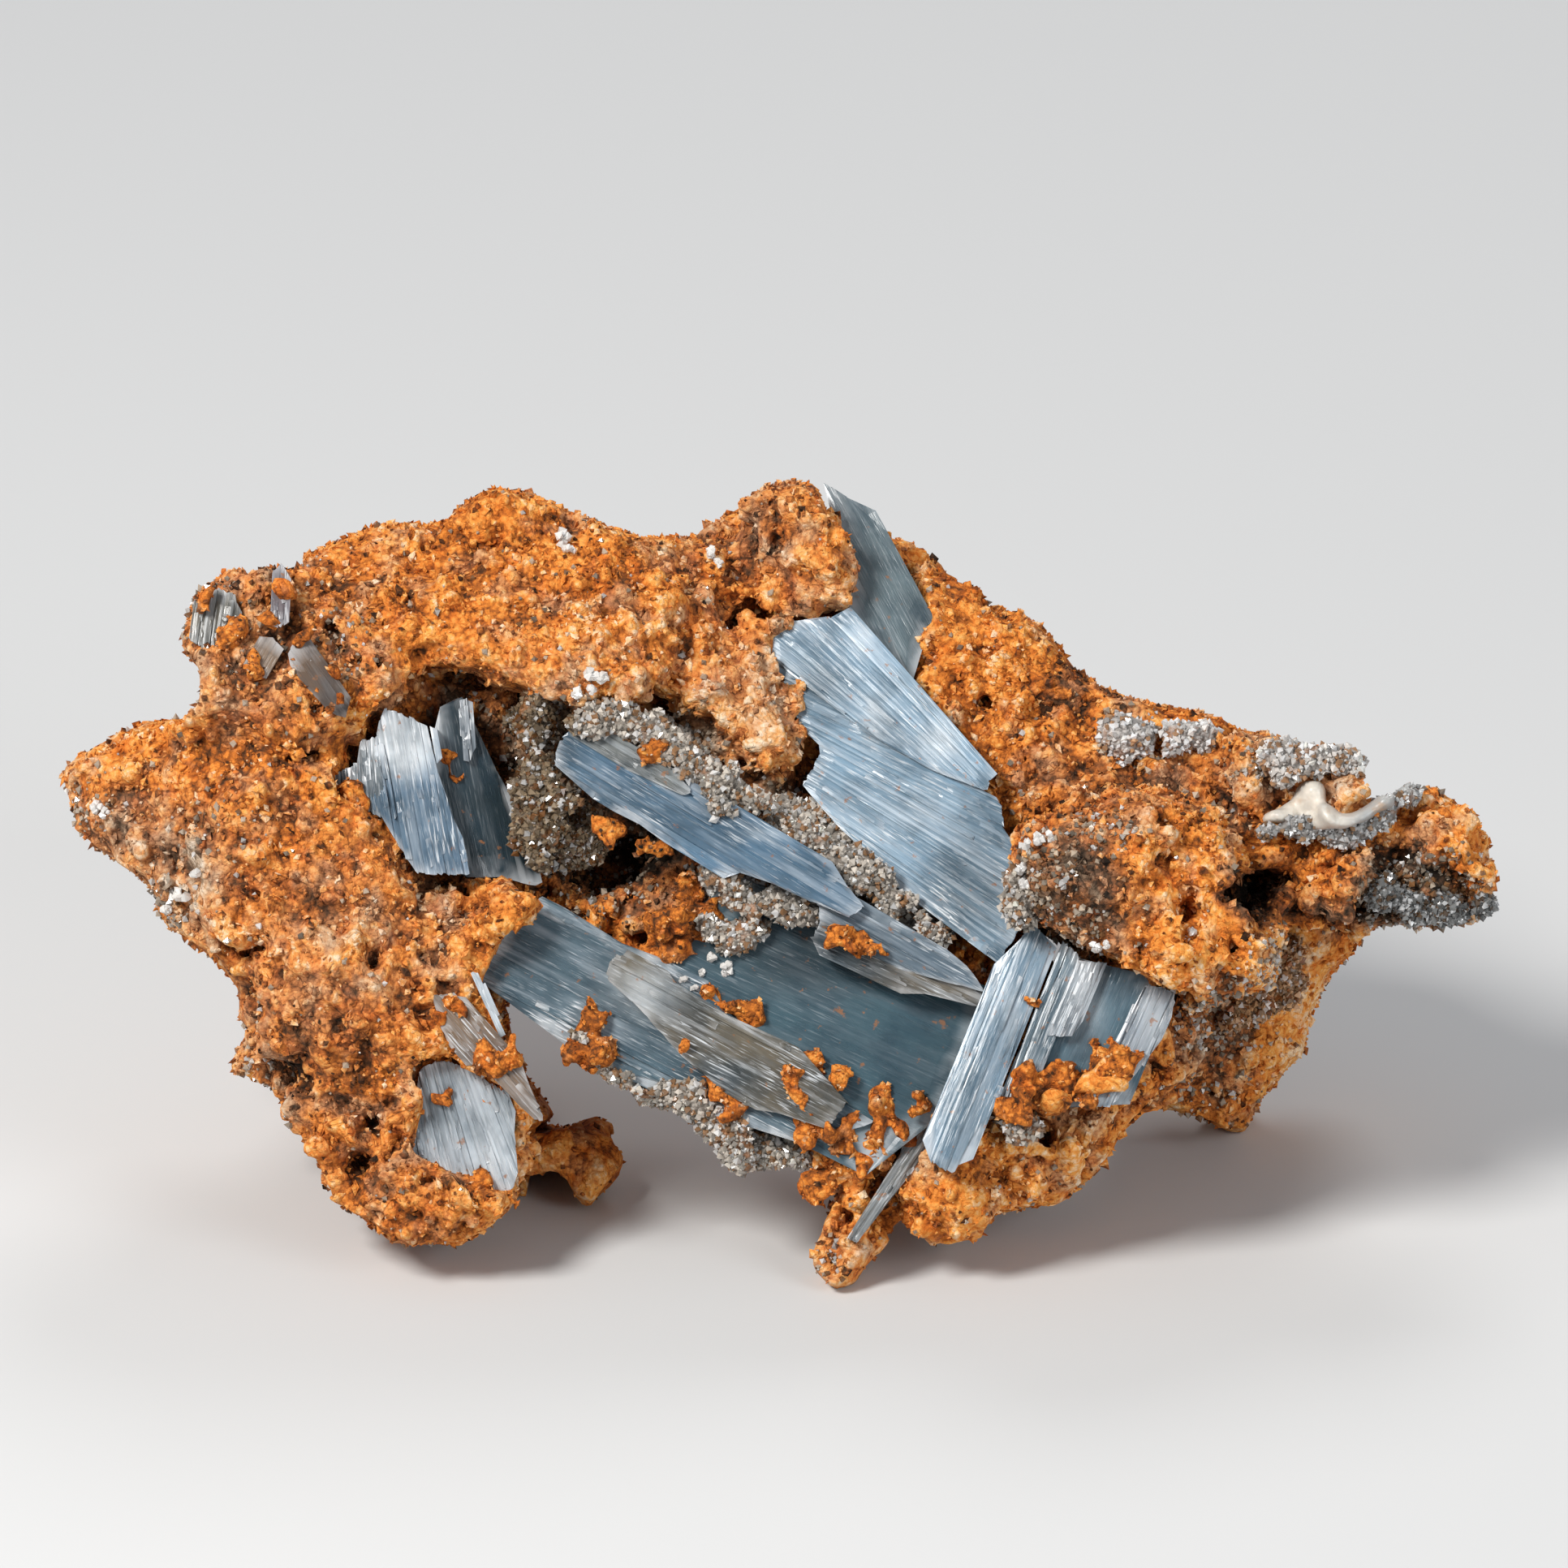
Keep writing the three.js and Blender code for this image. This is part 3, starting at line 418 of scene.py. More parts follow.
def level_set(box, points, triangles):
    """Distances to a closed mesh, right within the band."""
    places = ((points - box.low) / box.size).astype(np.float32)
    volume = openvdb.FloatGrid.createLevelSetFromPolygons(
        places, triangles=triangles.astype(np.uint32), halfWidth=BAND / box.size)
    field = np.empty(box.shape, np.float32)
    volume.copyToArray(field)
    return field * box.size


def spline_weights(axis, spacing, first, count):
    """Cubic spline weights of a row of lattice nodes at each place along an axis."""
    place = axis / spacing - first
    node = np.floor(place).astype(int)
    t = place - node
    weights = np.zeros((len(axis), count), np.float32)
    rows = np.arange(len(axis))
    weights[rows, node - 1] = (1 - t) ** 3 / 6
    weights[rows, node] = (3 * t ** 3 - 6 * t ** 2 + 4) / 6
    weights[rows, node + 1] = (3 * (1 - t) ** 3 - 6 * (1 - t) ** 2 + 4) / 6
    weights[rows, node + 2] = t ** 3 / 6
    return weights


def noise(box, spacing, seed):
    """Smooth noise of about unit strength that is the same in every box."""
    rng = np.random.default_rng(seed)
    first = [math.floor(low / spacing) - 2 for low in WORLD_LOW]
    count = [math.ceil(high / spacing) + 3 - start for high, start in zip(WORLD_HIGH, first)]
    field = rng.uniform(-5.2, 5.2, count).astype(np.float32)
    for i, axis in enumerate(box.axes):
        field = np.tensordot(field, spline_weights(axis, spacing, first[i], count[i]), (0, 1))
    return field


def blurred(field, steps):
    """A field softened over a number of voxels."""
    reach = int(math.ceil(2 * steps))
    weights = np.exp(-0.5 * (np.arange(-reach, reach + 1) / steps) ** 2)
    weights = (weights / weights.sum()).astype(np.float32)
    for axis in range(3):
        padded = np.pad(field, [(reach, reach) if i == axis else (0, 0) for i in range(3)], "edge")
        length = field.shape[axis]
        total = np.zeros_like(field)
        for i, weight in enumerate(weights):
            total += weight * np.take(padded, range(i, i + length), axis)
        field = total
    return field


def sampled(box, field, points):
    """A field's values at points."""
    place = (points - box.low) / box.size
    first = np.clip(np.floor(place).astype(int), 0, np.array(field.shape) - 2)
    share = np.clip(place - first, 0, 1)
    total = np.zeros(len(points))
    for corner in itertools.product((0, 1), repeat=3):
        weight = np.prod(np.where(corner, share, 1 - share), axis=1)
        total += weight * field[tuple((first + corner).T)]
    return total


def body_labels(count, edges):
    """For each vertex, the lowest number among the vertices that edges join it to."""
    label = np.arange(count)
    while True:
        low = np.minimum(label[edges[:, 0]], label[edges[:, 1]])
        new = label.copy()
        for side in (0, 1):
            np.minimum.at(new, label[edges[:, side]], low)
            np.minimum.at(new, edges[:, side], low)
        new = new[new]
        if np.array_equal(new, label):
            return label
        label = new


SMALLEST_BIT = 40  # vertices; smaller bodies of crusts and bits are left out


def surface(box, field, smallest, adaptivity):
    """Points, triangles and quads of the field's surface, without bodies of few vertices."""
    edge = 3 * box.size
    closed = np.clip(field, -edge, edge).astype(np.float32)
    for axis in range(3):
        ends = [slice(None)] * 3
        for end in (0, -1):
            ends[axis] = end
            closed[tuple(ends)] = edge
    volume = openvdb.FloatGrid(edge)
    volume.copyFromArray(closed)
    points, triangles, quads = volume.convertToPolygons(isovalue=0.0, adaptivity=adaptivity)
    triangles = triangles.astype(int)
    quads = quads.astype(int)
    sides = [triangles[:, :2], triangles[:, 1:], quads[:, :2], quads[:, 1:3], quads[:, 2:]]
    label = body_labels(len(points), np.vstack(sides))
    size = np.bincount(label, minlength=len(points))
    kept = size[label] >= smallest
    number = np.cumsum(kept) - 1
    triangles = number[triangles[kept[triangles[:, 0]]]]
    quads = number[quads[kept[quads[:, 0]]]]
    return box.low + points[kept] * box.size, triangles, quads


def as_triangles(triangles, quads):
    """A surface's triangles, with each quad as two more."""
    return np.vstack([triangles, quads[:, :3], quads[:, (0, 2, 3)]])


# ------------------------------------------------------------------ meshes

def mesh_object(name, points, faces, smooth=True, numbers=None, tint=None, strands=None):
    """A mesh object from points in face coordinates and arrays of faces, with values on its points.

    The tint is one colour for all points, or one for each.
    """
    mesh = bpy.data.meshes.new(name)
    mesh.vertices.add(len(points))
    mesh.vertices.foreach_set("co", to_model(points).astype(np.float32).ravel())
    faces = [part for part in faces if len(part)]
    corners = np.concatenate([np.asarray(part).ravel() for part in faces])
    sides = np.concatenate([np.full(len(part), np.asarray(part).shape[1]) for part in faces])
    mesh.loops.add(len(corners))
    mesh.loops.foreach_set("vertex_index", corners.astype(np.int32))
    mesh.polygons.add(len(sides))
    starts = np.concatenate([[0], np.cumsum(sides)[:-1]])
    mesh.polygons.foreach_set("loop_start", starts.astype(np.int32))
    mesh.update(calc_edges=True)
    mesh.validate()
    mesh.polygons.foreach_set("use_smooth", np.full(len(mesh.polygons), smooth))
    values = [("FLOAT", "value", key, array) for key, array in (numbers or {}).items()]
    if tint is not None:
        opaque = np.column_stack([np.broadcast_to(tint, points.shape), np.ones(len(points))])
        values.append(("FLOAT_COLOR", "color", "tint", opaque))
    if strands is not None:
        values.append(("FLOAT_VECTOR", "vector", "strand", strands))
    for kind, field, key, array in values:
        attribute = mesh.attributes.new(key, kind, "POINT")
        attribute.data.foreach_set(field, np.asarray(array, np.float32).ravel())
    thing = bpy.data.objects.new(name, mesh)
    bpy.context.scene.collection.objects.link(thing)
    return thing


def place(thing, material, slot, *nodes):
    """Makes an object a piece of the part, standing for the CAD nodes it is built on."""
    thing.data.materials.append(material)
    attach(thing, "root")
    if nodes:
        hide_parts(*nodes)


def limonite_piece(name, points, faces, material, relief, lighter, grey, smooth=True, nodes=()):
    """A piece of limonite, with how far its points stand out, how much lighter and how grey they are."""
    count = len(points)
    numbers = {"relief": relief, "lighter": np.full(count, lighter), "grey": np.full(count, grey)}
    place(mesh_object(name, points, faces, smooth, numbers), material, "limonite", *nodes)


def joined(parts):
    """Several (points, [faces...]) as one, with faces grouped by their number of sides."""
    points = []
    faces = {}
    start = 0
    for part_points, part_faces in parts:
        points.append(part_points)
        for group in part_faces:
            group = np.asarray(group)
            if len(group):
                faces.setdefault(group.shape[1], []).append(group + start)
        start += len(part_points)
    return np.vstack(points), [np.vstack(groups) for groups in faces.values()]


def node_mesh(name):
    """A CAD node's points in face coordinates, and its triangles."""
    mesh = NODES[name].data
    points = np.empty(len(mesh.vertices) * 3)
    mesh.vertices.foreach_get("co", points)
    mesh.calc_loop_triangles()
    triangles = np.empty(len(mesh.loop_triangles) * 3, int)
    mesh.loop_triangles.foreach_get("vertices", triangles)
    points = to_face(points.reshape(-1, 3))
    merged, number = np.unique(np.round(points, 4), axis=0, return_inverse=True)
    return merged, number.ravel()[triangles].reshape(-1, 3)


# ------------------------------------------------------------------ rock

# Lumps and hollows that the display face shows, as a, b, c of the middle and half sizes along them.
LUMPS = [
    (-40.3, 41.0, -2.5, 2.3, 2.8, 4.0),  # neck between the upper left knob and the arm
    (20.2, 27.6, 5.6, 3.6, 3.4, 3.4),  # right knob, its drusy left half
    (26.6, 24.4, 6.2, 3.2, 3.4, 3.2),  # its orange right half
    (24.2, 30.6, 4.6, 3.2, 2.2, 3.2),  # its top
    (38.7, 33.4, -1.6, 2.0, 1.5, 2.2),  # bump on the right arm
    (38.0, 28.5, -2.0, 3.1, 2.0, 3.0),  # lump under it
    (46.0, 30.6, -2.2, 3.0, 3.2, 3.0),  # end of the arm
    (-18.8, 25.4, 0.6, 2.6, 3.1, 2.6),  # lump between the left blades and the slab
    (-30.0, 21.0, 1.2, 5.0, 4.6, 2.6),  # belly of the left lobe
    (-24.0, 5.6, 0.2, 4.0, 2.2, 3.0),  # its foot
    (4.0, 2.4, 0.4, 2.2, 2.6, 2.4),  # front foot
    (12.0, 5.0, -0.6, 3.0, 2.2, 3.0),  # lower band
    (19.0, 9.0, -1.6, 3.4, 2.6, 3.0),
    (0.0, 53.0, -9.0, 3.6, 2.6, 4.0),  # mound at the top
    (1.4, 49.4, -7.6, 3.9, 3.3, 3.4),  # its foot, in front of the upper blade
    (-2.8, 44.0, -6.4, 4.4, 3.4, 2.6),  # tongue, from the ledge down
    (-2.6, 39.8, -4.6, 4.4, 3.6, 2.4),
    (-0.6, 36.9, -3.6, 2.7, 2.0, 2.0),
    (1.6, 37.4, -3.4, 2.2, 1.7, 1.6),
    (0.4, 40.6, -4.6, 2.0, 2.8, 2.2),
    (43.6, 27.8, -5.6, 5.0, 3.2, 3.0),  # dark underside of the arm
    (48.0, 28.4, -2.4, 1.4, 2.8, 2.4),  # rim that the cap sends down at its right
    (-20.5, 52.6, -9.0, 3.0, 2.2, 4.0),
]
HOLLOWS = [
    (-24.4, 41.4, -0.5, 1.9, 2.9, 6.0),  # under the ledge
    (-12.4, 29.3, -2.0, 2.6, 2.0, 6.0),  # in the middle
    (27.8, 26.0, 9.0, 0.9, 0.9, 5.0),  # hole in the right knob
    (32.2, 27.0, 1.0, 2.6, 1.9, 8.0),  # between the right knob and the arm
    (38.4, 25.7, -1.0, 4.4, 0.9, 6.5),  # under the arm
    (29.6, 13.5, -14.0, 1.7, 1.6, 16.0),  # opening between the lower band and the right foot
    (27.2, 19.0, -4.0, 0.9, 1.1, 4.0),
    (14.0, 40.5, -5.5, 1.0, 1.2, 3.0),
    (16.5, 35.8, -4.0, 1.2, 1.0, 3.0),
    (17.6, 33.3, -3.0, 1.0, 0.8, 3.0),
    (-36.0, 23.3, 2.0, 0.8, 0.8, 2.5),
    (-28.2, 22.7, 3.4, 0.9, 0.9, 2.5),
    (-29.3, 8.3, 1.6, 0.8, 0.8, 2.5),
    (-28.3, 11.0, 2.2, 0.7, 0.9, 2.5),
    (-33.2, 36.6, 1.5, 1.7, 0.8, 3.0),
    (24.4, 28.0, 8.2, 0.6, 0.6, 2.0),  # smaller pits on the knob
    (25.9, 27.9, 8.4, 0.7, 0.5, 2.0),
    (-34.6, 43.4, 3.0, 0.35, 2.0, 3.5),
    (-30.9, 44.4, 2.5, 0.35, 1.0, 3.5),
]

# Octaves of the rock's roughness: spacing, strength, and what it looks like.
OCTAVES = [
    (8.0, 0.42, "plain"),
    (4.2, 0.34, "plain"),
    (2.5, 0.22, "lumps"),
    (1.9, 0.24, "crests"),
    (1.1, 0.22, "plain"),
    (0.7, 0.19, "plain"),
]
WINDOW_ROOM = 0.45  # how far the rock is cut back below a barite face
PIT_COUNT = 420
CRUMB_COUNT = 1500


def split_depth(a, b):
    """Where the finely made front of the rock gives way to its coarser back."""
    right = np.clip((a - 24) / 6, 0, 1) * np.clip((31 - b) / 6, 0, 1)
    return -12.5 - 0.12 * (b - 30) - 17 * right


# Where the rock is calmer: a, b, half sizes, and by how much.
CALM = [
    (-2.4, 41.0, 4.0, 5.6, 0.45),
    (-24.0, 48.5, 9.0, 4.0, 0.3),
    (-12.0, 47.0, 7.0, 4.6, 0.4),
    (-46.0, 36.6, 4.6, 2.0, 0.5),
    (27.6, 25.6, 2.8, 4.0, 0.5),
    (23.0, 31.0, 3.0, 2.0, 0.3),
    (45.5, 31.5, 3.4, 2.8, 0.4),
    (36.0, 19.0, 3.6, 6.0, 0.3),
]


def calmed(box):
    """The share of its roughness that the rock keeps over the display face."""
    a, b = box.sheet()
    kept = np.ones(a.shape)
    for *spot, less in CALM:
        kept -= less * np.exp(-0.9 * squared_reach(a, b, spot) ** 2)
    return np.clip(kept, 0.25, 1)[:, :, None].astype(np.float32)


def roughness_field(box):
    """How far the rock stands out from its smooth shape."""
    relief = np.zeros(box.shape, np.float32)
    for i, (spacing, strength, look) in enumerate(OCTAVES):
        octave = noise(box, spacing, 10 + i)
        if look == "lumps":
            octave = np.abs(octave) - 0.8
        elif look == "crests":
            octave = 0.8 - np.abs(octave)
        relief += strength * octave
    return np.where(relief < 0, 1.1 * relief, 0.8 * relief) * calmed(box)


def ellipsoid(places, spot):
    """Distances to an ellipsoid, right near its surface."""
    a, b, c = places
    middle, half = spot[:3], spot[3:]
    q = np.sqrt(((a - middle[0]) / half[0]) ** 2 + ((b - middle[1]) / half[1]) ** 2
                + ((c - middle[2]) / half[2]) ** 2)
    return (q - 1) * min(half)


def stamp(box, field, spot, blend, join):
    """Joins an ellipsoid to a field, or cuts it away."""
    part, places = box.around(spot[:3], [half + 1.5 for half in spot[3:]])
    if field[part].size:
        field[part] = join(field[part], ellipsoid(places, spot), blend)


def pepper(box, field, count, sizes, blend, join, rng):
    """Stamps ellipsoids of random size at random places on a field's surface."""
    near = np.flatnonzero(np.abs(field.ravel()) < 0.5 * box.size)
    for spot in rng.choice(near, count):
        middle = [axis[i] for axis, i in zip(box.axes, np.unravel_index(spot, box.shape))]
        half = rng.uniform(*sizes) * rng.uniform(0.5, 1.3, 3)
        stamp(box, field, (*middle, *half), blend, join)


def standing_out(box, field, points):
    """How far points of a field's surface stand out from the surface softened over about 1 mm."""
    return sampled(box, blurred(field, 0.9 / box.size), points)


def finished_surface(box, field):
    """The points, triangles and quads of crusts or bits, and how far the points stand out."""
    points, triangles, quads = surface(box, field, SMALLEST_BIT, 0.1)
    return points, triangles, quads, standing_out(box, field, points)


def windows(box):
    """The room in front of the barite faces, which holds no rock."""
    a, b = box.sheet()
    ragged = 0.3 * noise(box, 1.1, 70)
    c = box.planes()[2]
    room = np.full(box.shape, 1e3, np.float32)
    for facet in itertools.chain.from_iterable(CRYSTALS.values()):
        edge = polygon_distance(facet["outline"], a, b)[:, :, None] + ragged + facet["covered"]
        face = facet_height(facet, a, b)[:, :, None] - WINDOW_ROOM - c
        room = np.minimum(room, np.maximum(edge, face))
    return room


def rock_field(box, front):
    """The rock's finished surface as a field."""
    points, triangles = node_mesh("limonite_matrix")
    base = level_set(box, points, triangles)
    base = blurred(base, 0.45 / box.size)
    for spot in LUMPS:
        stamp(box, base, spot, 1.6, smooth_union)
    _, b, c = box.planes()
    up = above_floor(b, c)
    rng = np.random.default_rng(3 if front else 4)
    pepper(box, base, PIT_COUNT, (0.3, 1.05), 0.4, smooth_cut, rng)
    for spot in HOLLOWS:
        stamp(box, base, spot, 0.5, smooth_cut)
    field = base - roughness_field(box) * np.clip(up / 2.5, 0.15, 1).astype(np.float32)
    pepper(box, field, CRUMB_COUNT, (0.3, 0.8), 0.15, smooth_union, rng)
    knob_edge = polygon_distance(ARCH_KNOB, *box.sheet())[:, :, None]
    edge = np.minimum(silhouette_edge(box), knob_edge) + 0.15 + 0.16 * noise(box, 1.3, 60)
    field = smooth_common(field, edge, 0.5)
    field = np.maximum(field, -windows(box))
    field = np.maximum(field, -up)
    split = split_depth(*box.sheet())[:, :, None]
    if front:
        field = np.maximum(field, split - c)
    else:
        field = np.maximum(field, c - split - 1.5)
        overlap = c > split - 0.5
        field = field + np.where(overlap, 0.07, 0)  # there the back lies just under the front
    return field.astype(np.float32)


# Where the rock's colour differs, with painted shade in some hollows and painted light on the shaded right
# foot: a, b, half sizes, how much lighter, and how grey.
REGIONS = [
    (-13, 44.5, 7, 3.5, 0.12, 0.05),
    (-1.5, 52.6, 4, 3.2, -0.1, 0.3),
    (-3, 40.5, 4.2, 5, 0.12, 0.4),
    # Painted shade in the hollow between the right knob and the arm, and in the hollow under the arm.
    (32.2, 27, 2.7, 1.9, -0.5, 0.4),
    (38.4, 25.7, 4.4, 0.9, -0.4, 0.3),
    (2.4, 48, 2.6, 1.8, 0.04, 0.3),
    (-36, 44, 6.5, 5, -0.1, 0.35),
    (-46.5, 37, 5, 2, 0.1, 0),
    (-45, 31, 6, 3.2, 0.02, 0.5),
    (-41, 27, 3, 3, 0.08, 0.5),
    (-30, 24, 8, 7, 0.04, 0.2),
    (-31, 17.5, 4, 3.6, -0.14, 0.1),
    (-27, 8, 9, 5, -0.1, 0.1),
    (-36, 15, 3.5, 6, -0.08, 0.3),
    (-17.5, 25, 3.5, 4, -0.1, 0),
    (19.6, 27, 3.6, 4, -0.3, 0.7),
    (28, 25, 2.8, 3.6, 0.14, -0.3),
    (47.2, 29, 2.2, 4, 0.1, -0.5),
    (20, 41.5, 3.4, 2.6, -0.14, 0.1),
    (12.5, 49, 1.8, 1.4, -0.2, 0.1),
    (22, 35, 6, 2, -0.06, 0.15),
    (34, 35, 5, 2.2, 0.04, 0.5),
    (38.5, 33, 3, 1.6, 0.1, 0.3),
    # Grey of the druse, with painted shade under the arm.
    (43.6, 27.4, 4.4, 2.6, -0.4, 0.95),
    (47, 32, 3, 2.6, 0.06, 0),
    # Painted light on the right foot, which lies in shadow behind the knob and arm.
    (36, 18, 3.6, 7, 0.3, -0.5),
    (14, 44, 5, 4, 0.06, -0.4),
    (30.5, 17, 3.4, 4, -0.16, 0.4),
    (14, 7, 10, 4, 0.04, 0),
    # Painted shade in the hollow in the middle.
    (-12, 30, 4.5, 3.5, -0.35, 0.2),
    (-16, 35, 3.6, 5.6, -0.14, 0.8),
    (-9.5, 38, 4, 1.6, -0.1, 0.8),
    (-3, 31, 9, 4, -0.12, 0.7),
    (-6, 11, 7, 4, -0.1, 0.8),
    (-22, 39, 3, 3.5, -0.15, 0.4),
    (-13, 9, 4, 4, -0.02, 0),
    (2.5, 1.5, 3, 3, -0.05, 0.25),
]


def region_values(points):
    """How much lighter and how grey the rock is at points on the display face."""
    lighter = np.zeros(len(points))
    grey = np.zeros(len(points))
    for *spot, more, greyer in REGIONS:
        share = np.exp(-0.9 * squared_reach(points[:, 0], points[:, 1], spot) ** 1.5)
        lighter += more * share
        grey += greyer * share
    fade = np.clip((points[:, 2] - split_depth(points[:, 0], points[:, 1])) / 4, 0, 1)
    return lighter * fade, np.clip(grey, -0.5, 1) * fade


# Front parts overlap by 3 mm.
ROCK_PARTS = [
    ("rock_front_left", (-52.5, -1.5, -22), (-12, 57.5, 9), True, 0.27, 0.5),
    ("rock_front_middle", (-15, -1.5, -30), (17, 57.5, 12), True, 0.27, 0.5),
    ("rock_front_right", (14, -1.5, -33), (51.5, 57.5, 12), True, 0.27, 0.5),
    ("rock_back", (-52.5, -4, -34), (51.5, 57.5, -4), False, 0.5, 0.7),
]
SMALLEST_BODY = 900  # vertices; smaller bodies of rock would hang in the air
UNDERLAP = 0.05  # how far a part's left end lies under the part that it overlaps


def rock_parts(material):
    """The limonite, as finely made front parts and a coarser back."""
    made = []
    for name, low, high, front, fine, coarse in ROCK_PARTS:
        box = Box(low, high, voxel(fine))
        field = rock_field(box, front)
        left_end = box.planes()[0] < low[0] + 1.5
        field += np.where(left_end, UNDERLAP, 0).astype(np.float32)
        points, triangles, quads = surface(box, field, SMALLEST_BODY, 0.12)
        relief = standing_out(box, field, points)
        lighter, grey = region_values(points)
        limonite_piece(name, points, [triangles, quads], material, relief, lighter, grey,
                       nodes=["limonite_matrix"])
        made.append((points, as_triangles(triangles, quads), front))
        print(name, len(points), "points", len(triangles) + 2 * len(quads), "triangles")
    return made


# ------------------------------------------------------------------ grains

OCTAHEDRON = np.array([(1, 0, 0), (0, 1, 0), (-1, 0, 0), (0, -1, 0), (0, 0, 1), (0, 0, -1)], float)
OCTAHEDRON_FACES = np.array([
    (0, 1, 4), (1, 2, 4), (2, 3, 4), (3, 0, 4), (1, 0, 5), (2, 1, 5), (3, 2, 5), (0, 3, 5)])


def hexagonal_crystal():
    """A six-sided crystal with a long point up and a short one down."""
    turns = np.arange(6) * math.pi / 3
    ring = np.column_stack([np.cos(turns), np.sin(turns), np.zeros(6)])
    points = np.vstack([ring, [(0, 0, 1.25)], [(0, 0, -0.8)]])
    up = [(i, (i + 1) % 6, 6) for i in range(6)]
    down = [((i + 1) % 6, i, 7) for i in range(6)]
    return points, np.array(up + down)


def surface_samples(points, triangles, weight, count, rng):
    """Random places on triangles, by area times weight, with their normals."""
    corners = points[triangles]
    normal = np.cross(corners[:, 1] - corners[:, 0], corners[:, 2] - corners[:, 0])
    area = np.linalg.norm(normal, axis=1)
    chance = np.cumsum(area * weight(corners.mean(axis=1), normal / np.maximum(area, 1e-9)[:, None]))
    pick = np.searchsorted(chance, rng.uniform(0, chance[-1], count))
    share = rng.uniform(0, 1, (count, 2))
    share = np.where(share.sum(axis=1, keepdims=True) > 1, 1 - share, share)
    chosen = corners[pick]
    place_at = (chosen[:, 0] + share[:, :1] * (chosen[:, 1] - chosen[:, 0])
                + share[:, 1:] * (chosen[:, 2] - chosen[:, 0]))
    return place_at, normal[pick] / np.maximum(area[pick], 1e-9)[:, None]


CLEARANCE = 0.8  # mm above the floor from where grains and crystals are set


def well_above_floor(places):
    """Which places are high enough that what is set there stays above the floor."""
    return above_floor(places[:, 1], places[:, 2]) > CLEARANCE


def turned_frames(axis, rng, wander):
    """Right-handed frames whose third axis wanders about the given ones, with a random turn."""
    third = axis + wander * rng.normal(size=axis.shape)
    third /= np.linalg.norm(third, axis=1, keepdims=True)
    first = np.cross(third, rng.normal(size=axis.shape))
    first /= np.maximum(np.linalg.norm(first, axis=1, keepdims=True), 1e-9)
    second = np.cross(third, first)
    return np.stack([first, second, third], axis=1)


def scattered(template, faces, places, frames, sizes, rng, jitter):
    """Copies of a template at places, each with its own frame, three sizes and bent corners."""
    count = len(places)
    shapes = np.broadcast_to(template, (count, *template.shape))
    shapes = shapes * (1 + jitter * rng.uniform(-1, 1, (count, len(template), 1)))
    turned = np.einsum("nkj,njx->nkx", shapes * sizes[:, None, :], frames)
    points = (places[:, None, :] + turned).reshape(-1, 3)
    numbers = (faces[None] + (np.arange(count) * len(template))[:, None, None]).reshape(-1, faces.shape[1])
    return points, numbers


def grain_piece(name, rock, count, weight, material, seed, sizes=(0.13, 0.46)):
    """Grains and flakes set in the rock, as one joined mesh."""
    rng = np.random.default_rng(seed)
    points, triangles = rock
    places, normals = surface_samples(points, triangles, weight, count, rng)
    clear = well_above_floor(places)
    places, normals, count = places[clear], normals[clear], int(clear.sum())
    size = sizes[0] + (sizes[1] - sizes[0]) * rng.uniform(0, 1, (count, 1)) ** 2
    shape = rng.uniform(0.5, 1.3, (count, 3))
    shape[:, 2] *= np.where(rng.uniform(size=count) < 0.25, 0.35, 0.8)
    frames = turned_frames(normals, rng, 0.9)
    places_out = places + 0.05 * normals
    grains, faces = scattered(OCTAHEDRON, OCTAHEDRON_FACES, places_out, frames, size * shape, rng, 0.3)
    lighter, grey = region_values(places)
    values = [rng.uniform(-0.2, 0.4, count), lighter + rng.normal(0, 0.13, count),
              grey * rng.uniform(0.5, 1.3, count)]
    relief, lighter, grey = np.repeat(values, len(OCTAHEDRON), axis=1)
    limonite_piece(name, grains, [faces], material, relief, lighter, grey, smooth=False)


# ------------------------------------------------------------------ quartz

CRYSTAL_POINTS, CRYSTAL_FACES = hexagonal_crystal()

# Node, number of crystals, smallest and largest half width in mm, how far the body is drawn in, how lumpy
# it is, and tint.
DRUSES = [
    ("quartz_seam", 2500, 0.12, 0.34, 0.05, 1.0, (0.66, 0.59, 0.51)),
    ("quartz_pocket", 2500, 0.11, 0.29, 0.05, 1.0, (0.27, 0.20, 0.13)),
    ("quartz_shelf", 700, 0.12, 0.34, -0.15, 1.0, (0.54, 0.50, 0.45)),
    ("quartz_lower_edge", 1400, 0.13, 0.36, -0.1, 1.0, (0.54, 0.49, 0.42)),
    ("quartz_knob_1", 130, 0.14, 0.34, -0.05, 0.45, (0.80, 0.76, 0.72)),
    ("quartz_knob_2", 130, 0.14, 0.34, -0.05, 0.45, (0.80, 0.76, 0.72)),
    ("quartz_knob_arm", 420, 0.14, 0.36, 0.0, 0.6, (0.70, 0.65, 0.60)),
    ("quartz_band_right", 800, 0.14, 0.34, 0.1, 1.0, (0.46, 0.26, 0.13)),
    ("quartz_ridge_white", 420, 0.12, 0.3, -0.05, 0.6, (0.50, 0.50, 0.49)),
    ("quartz_arm_underside", 1000, 0.12, 0.32, 0.4, 0.7, (0.17, 0.17, 0.165)),
]


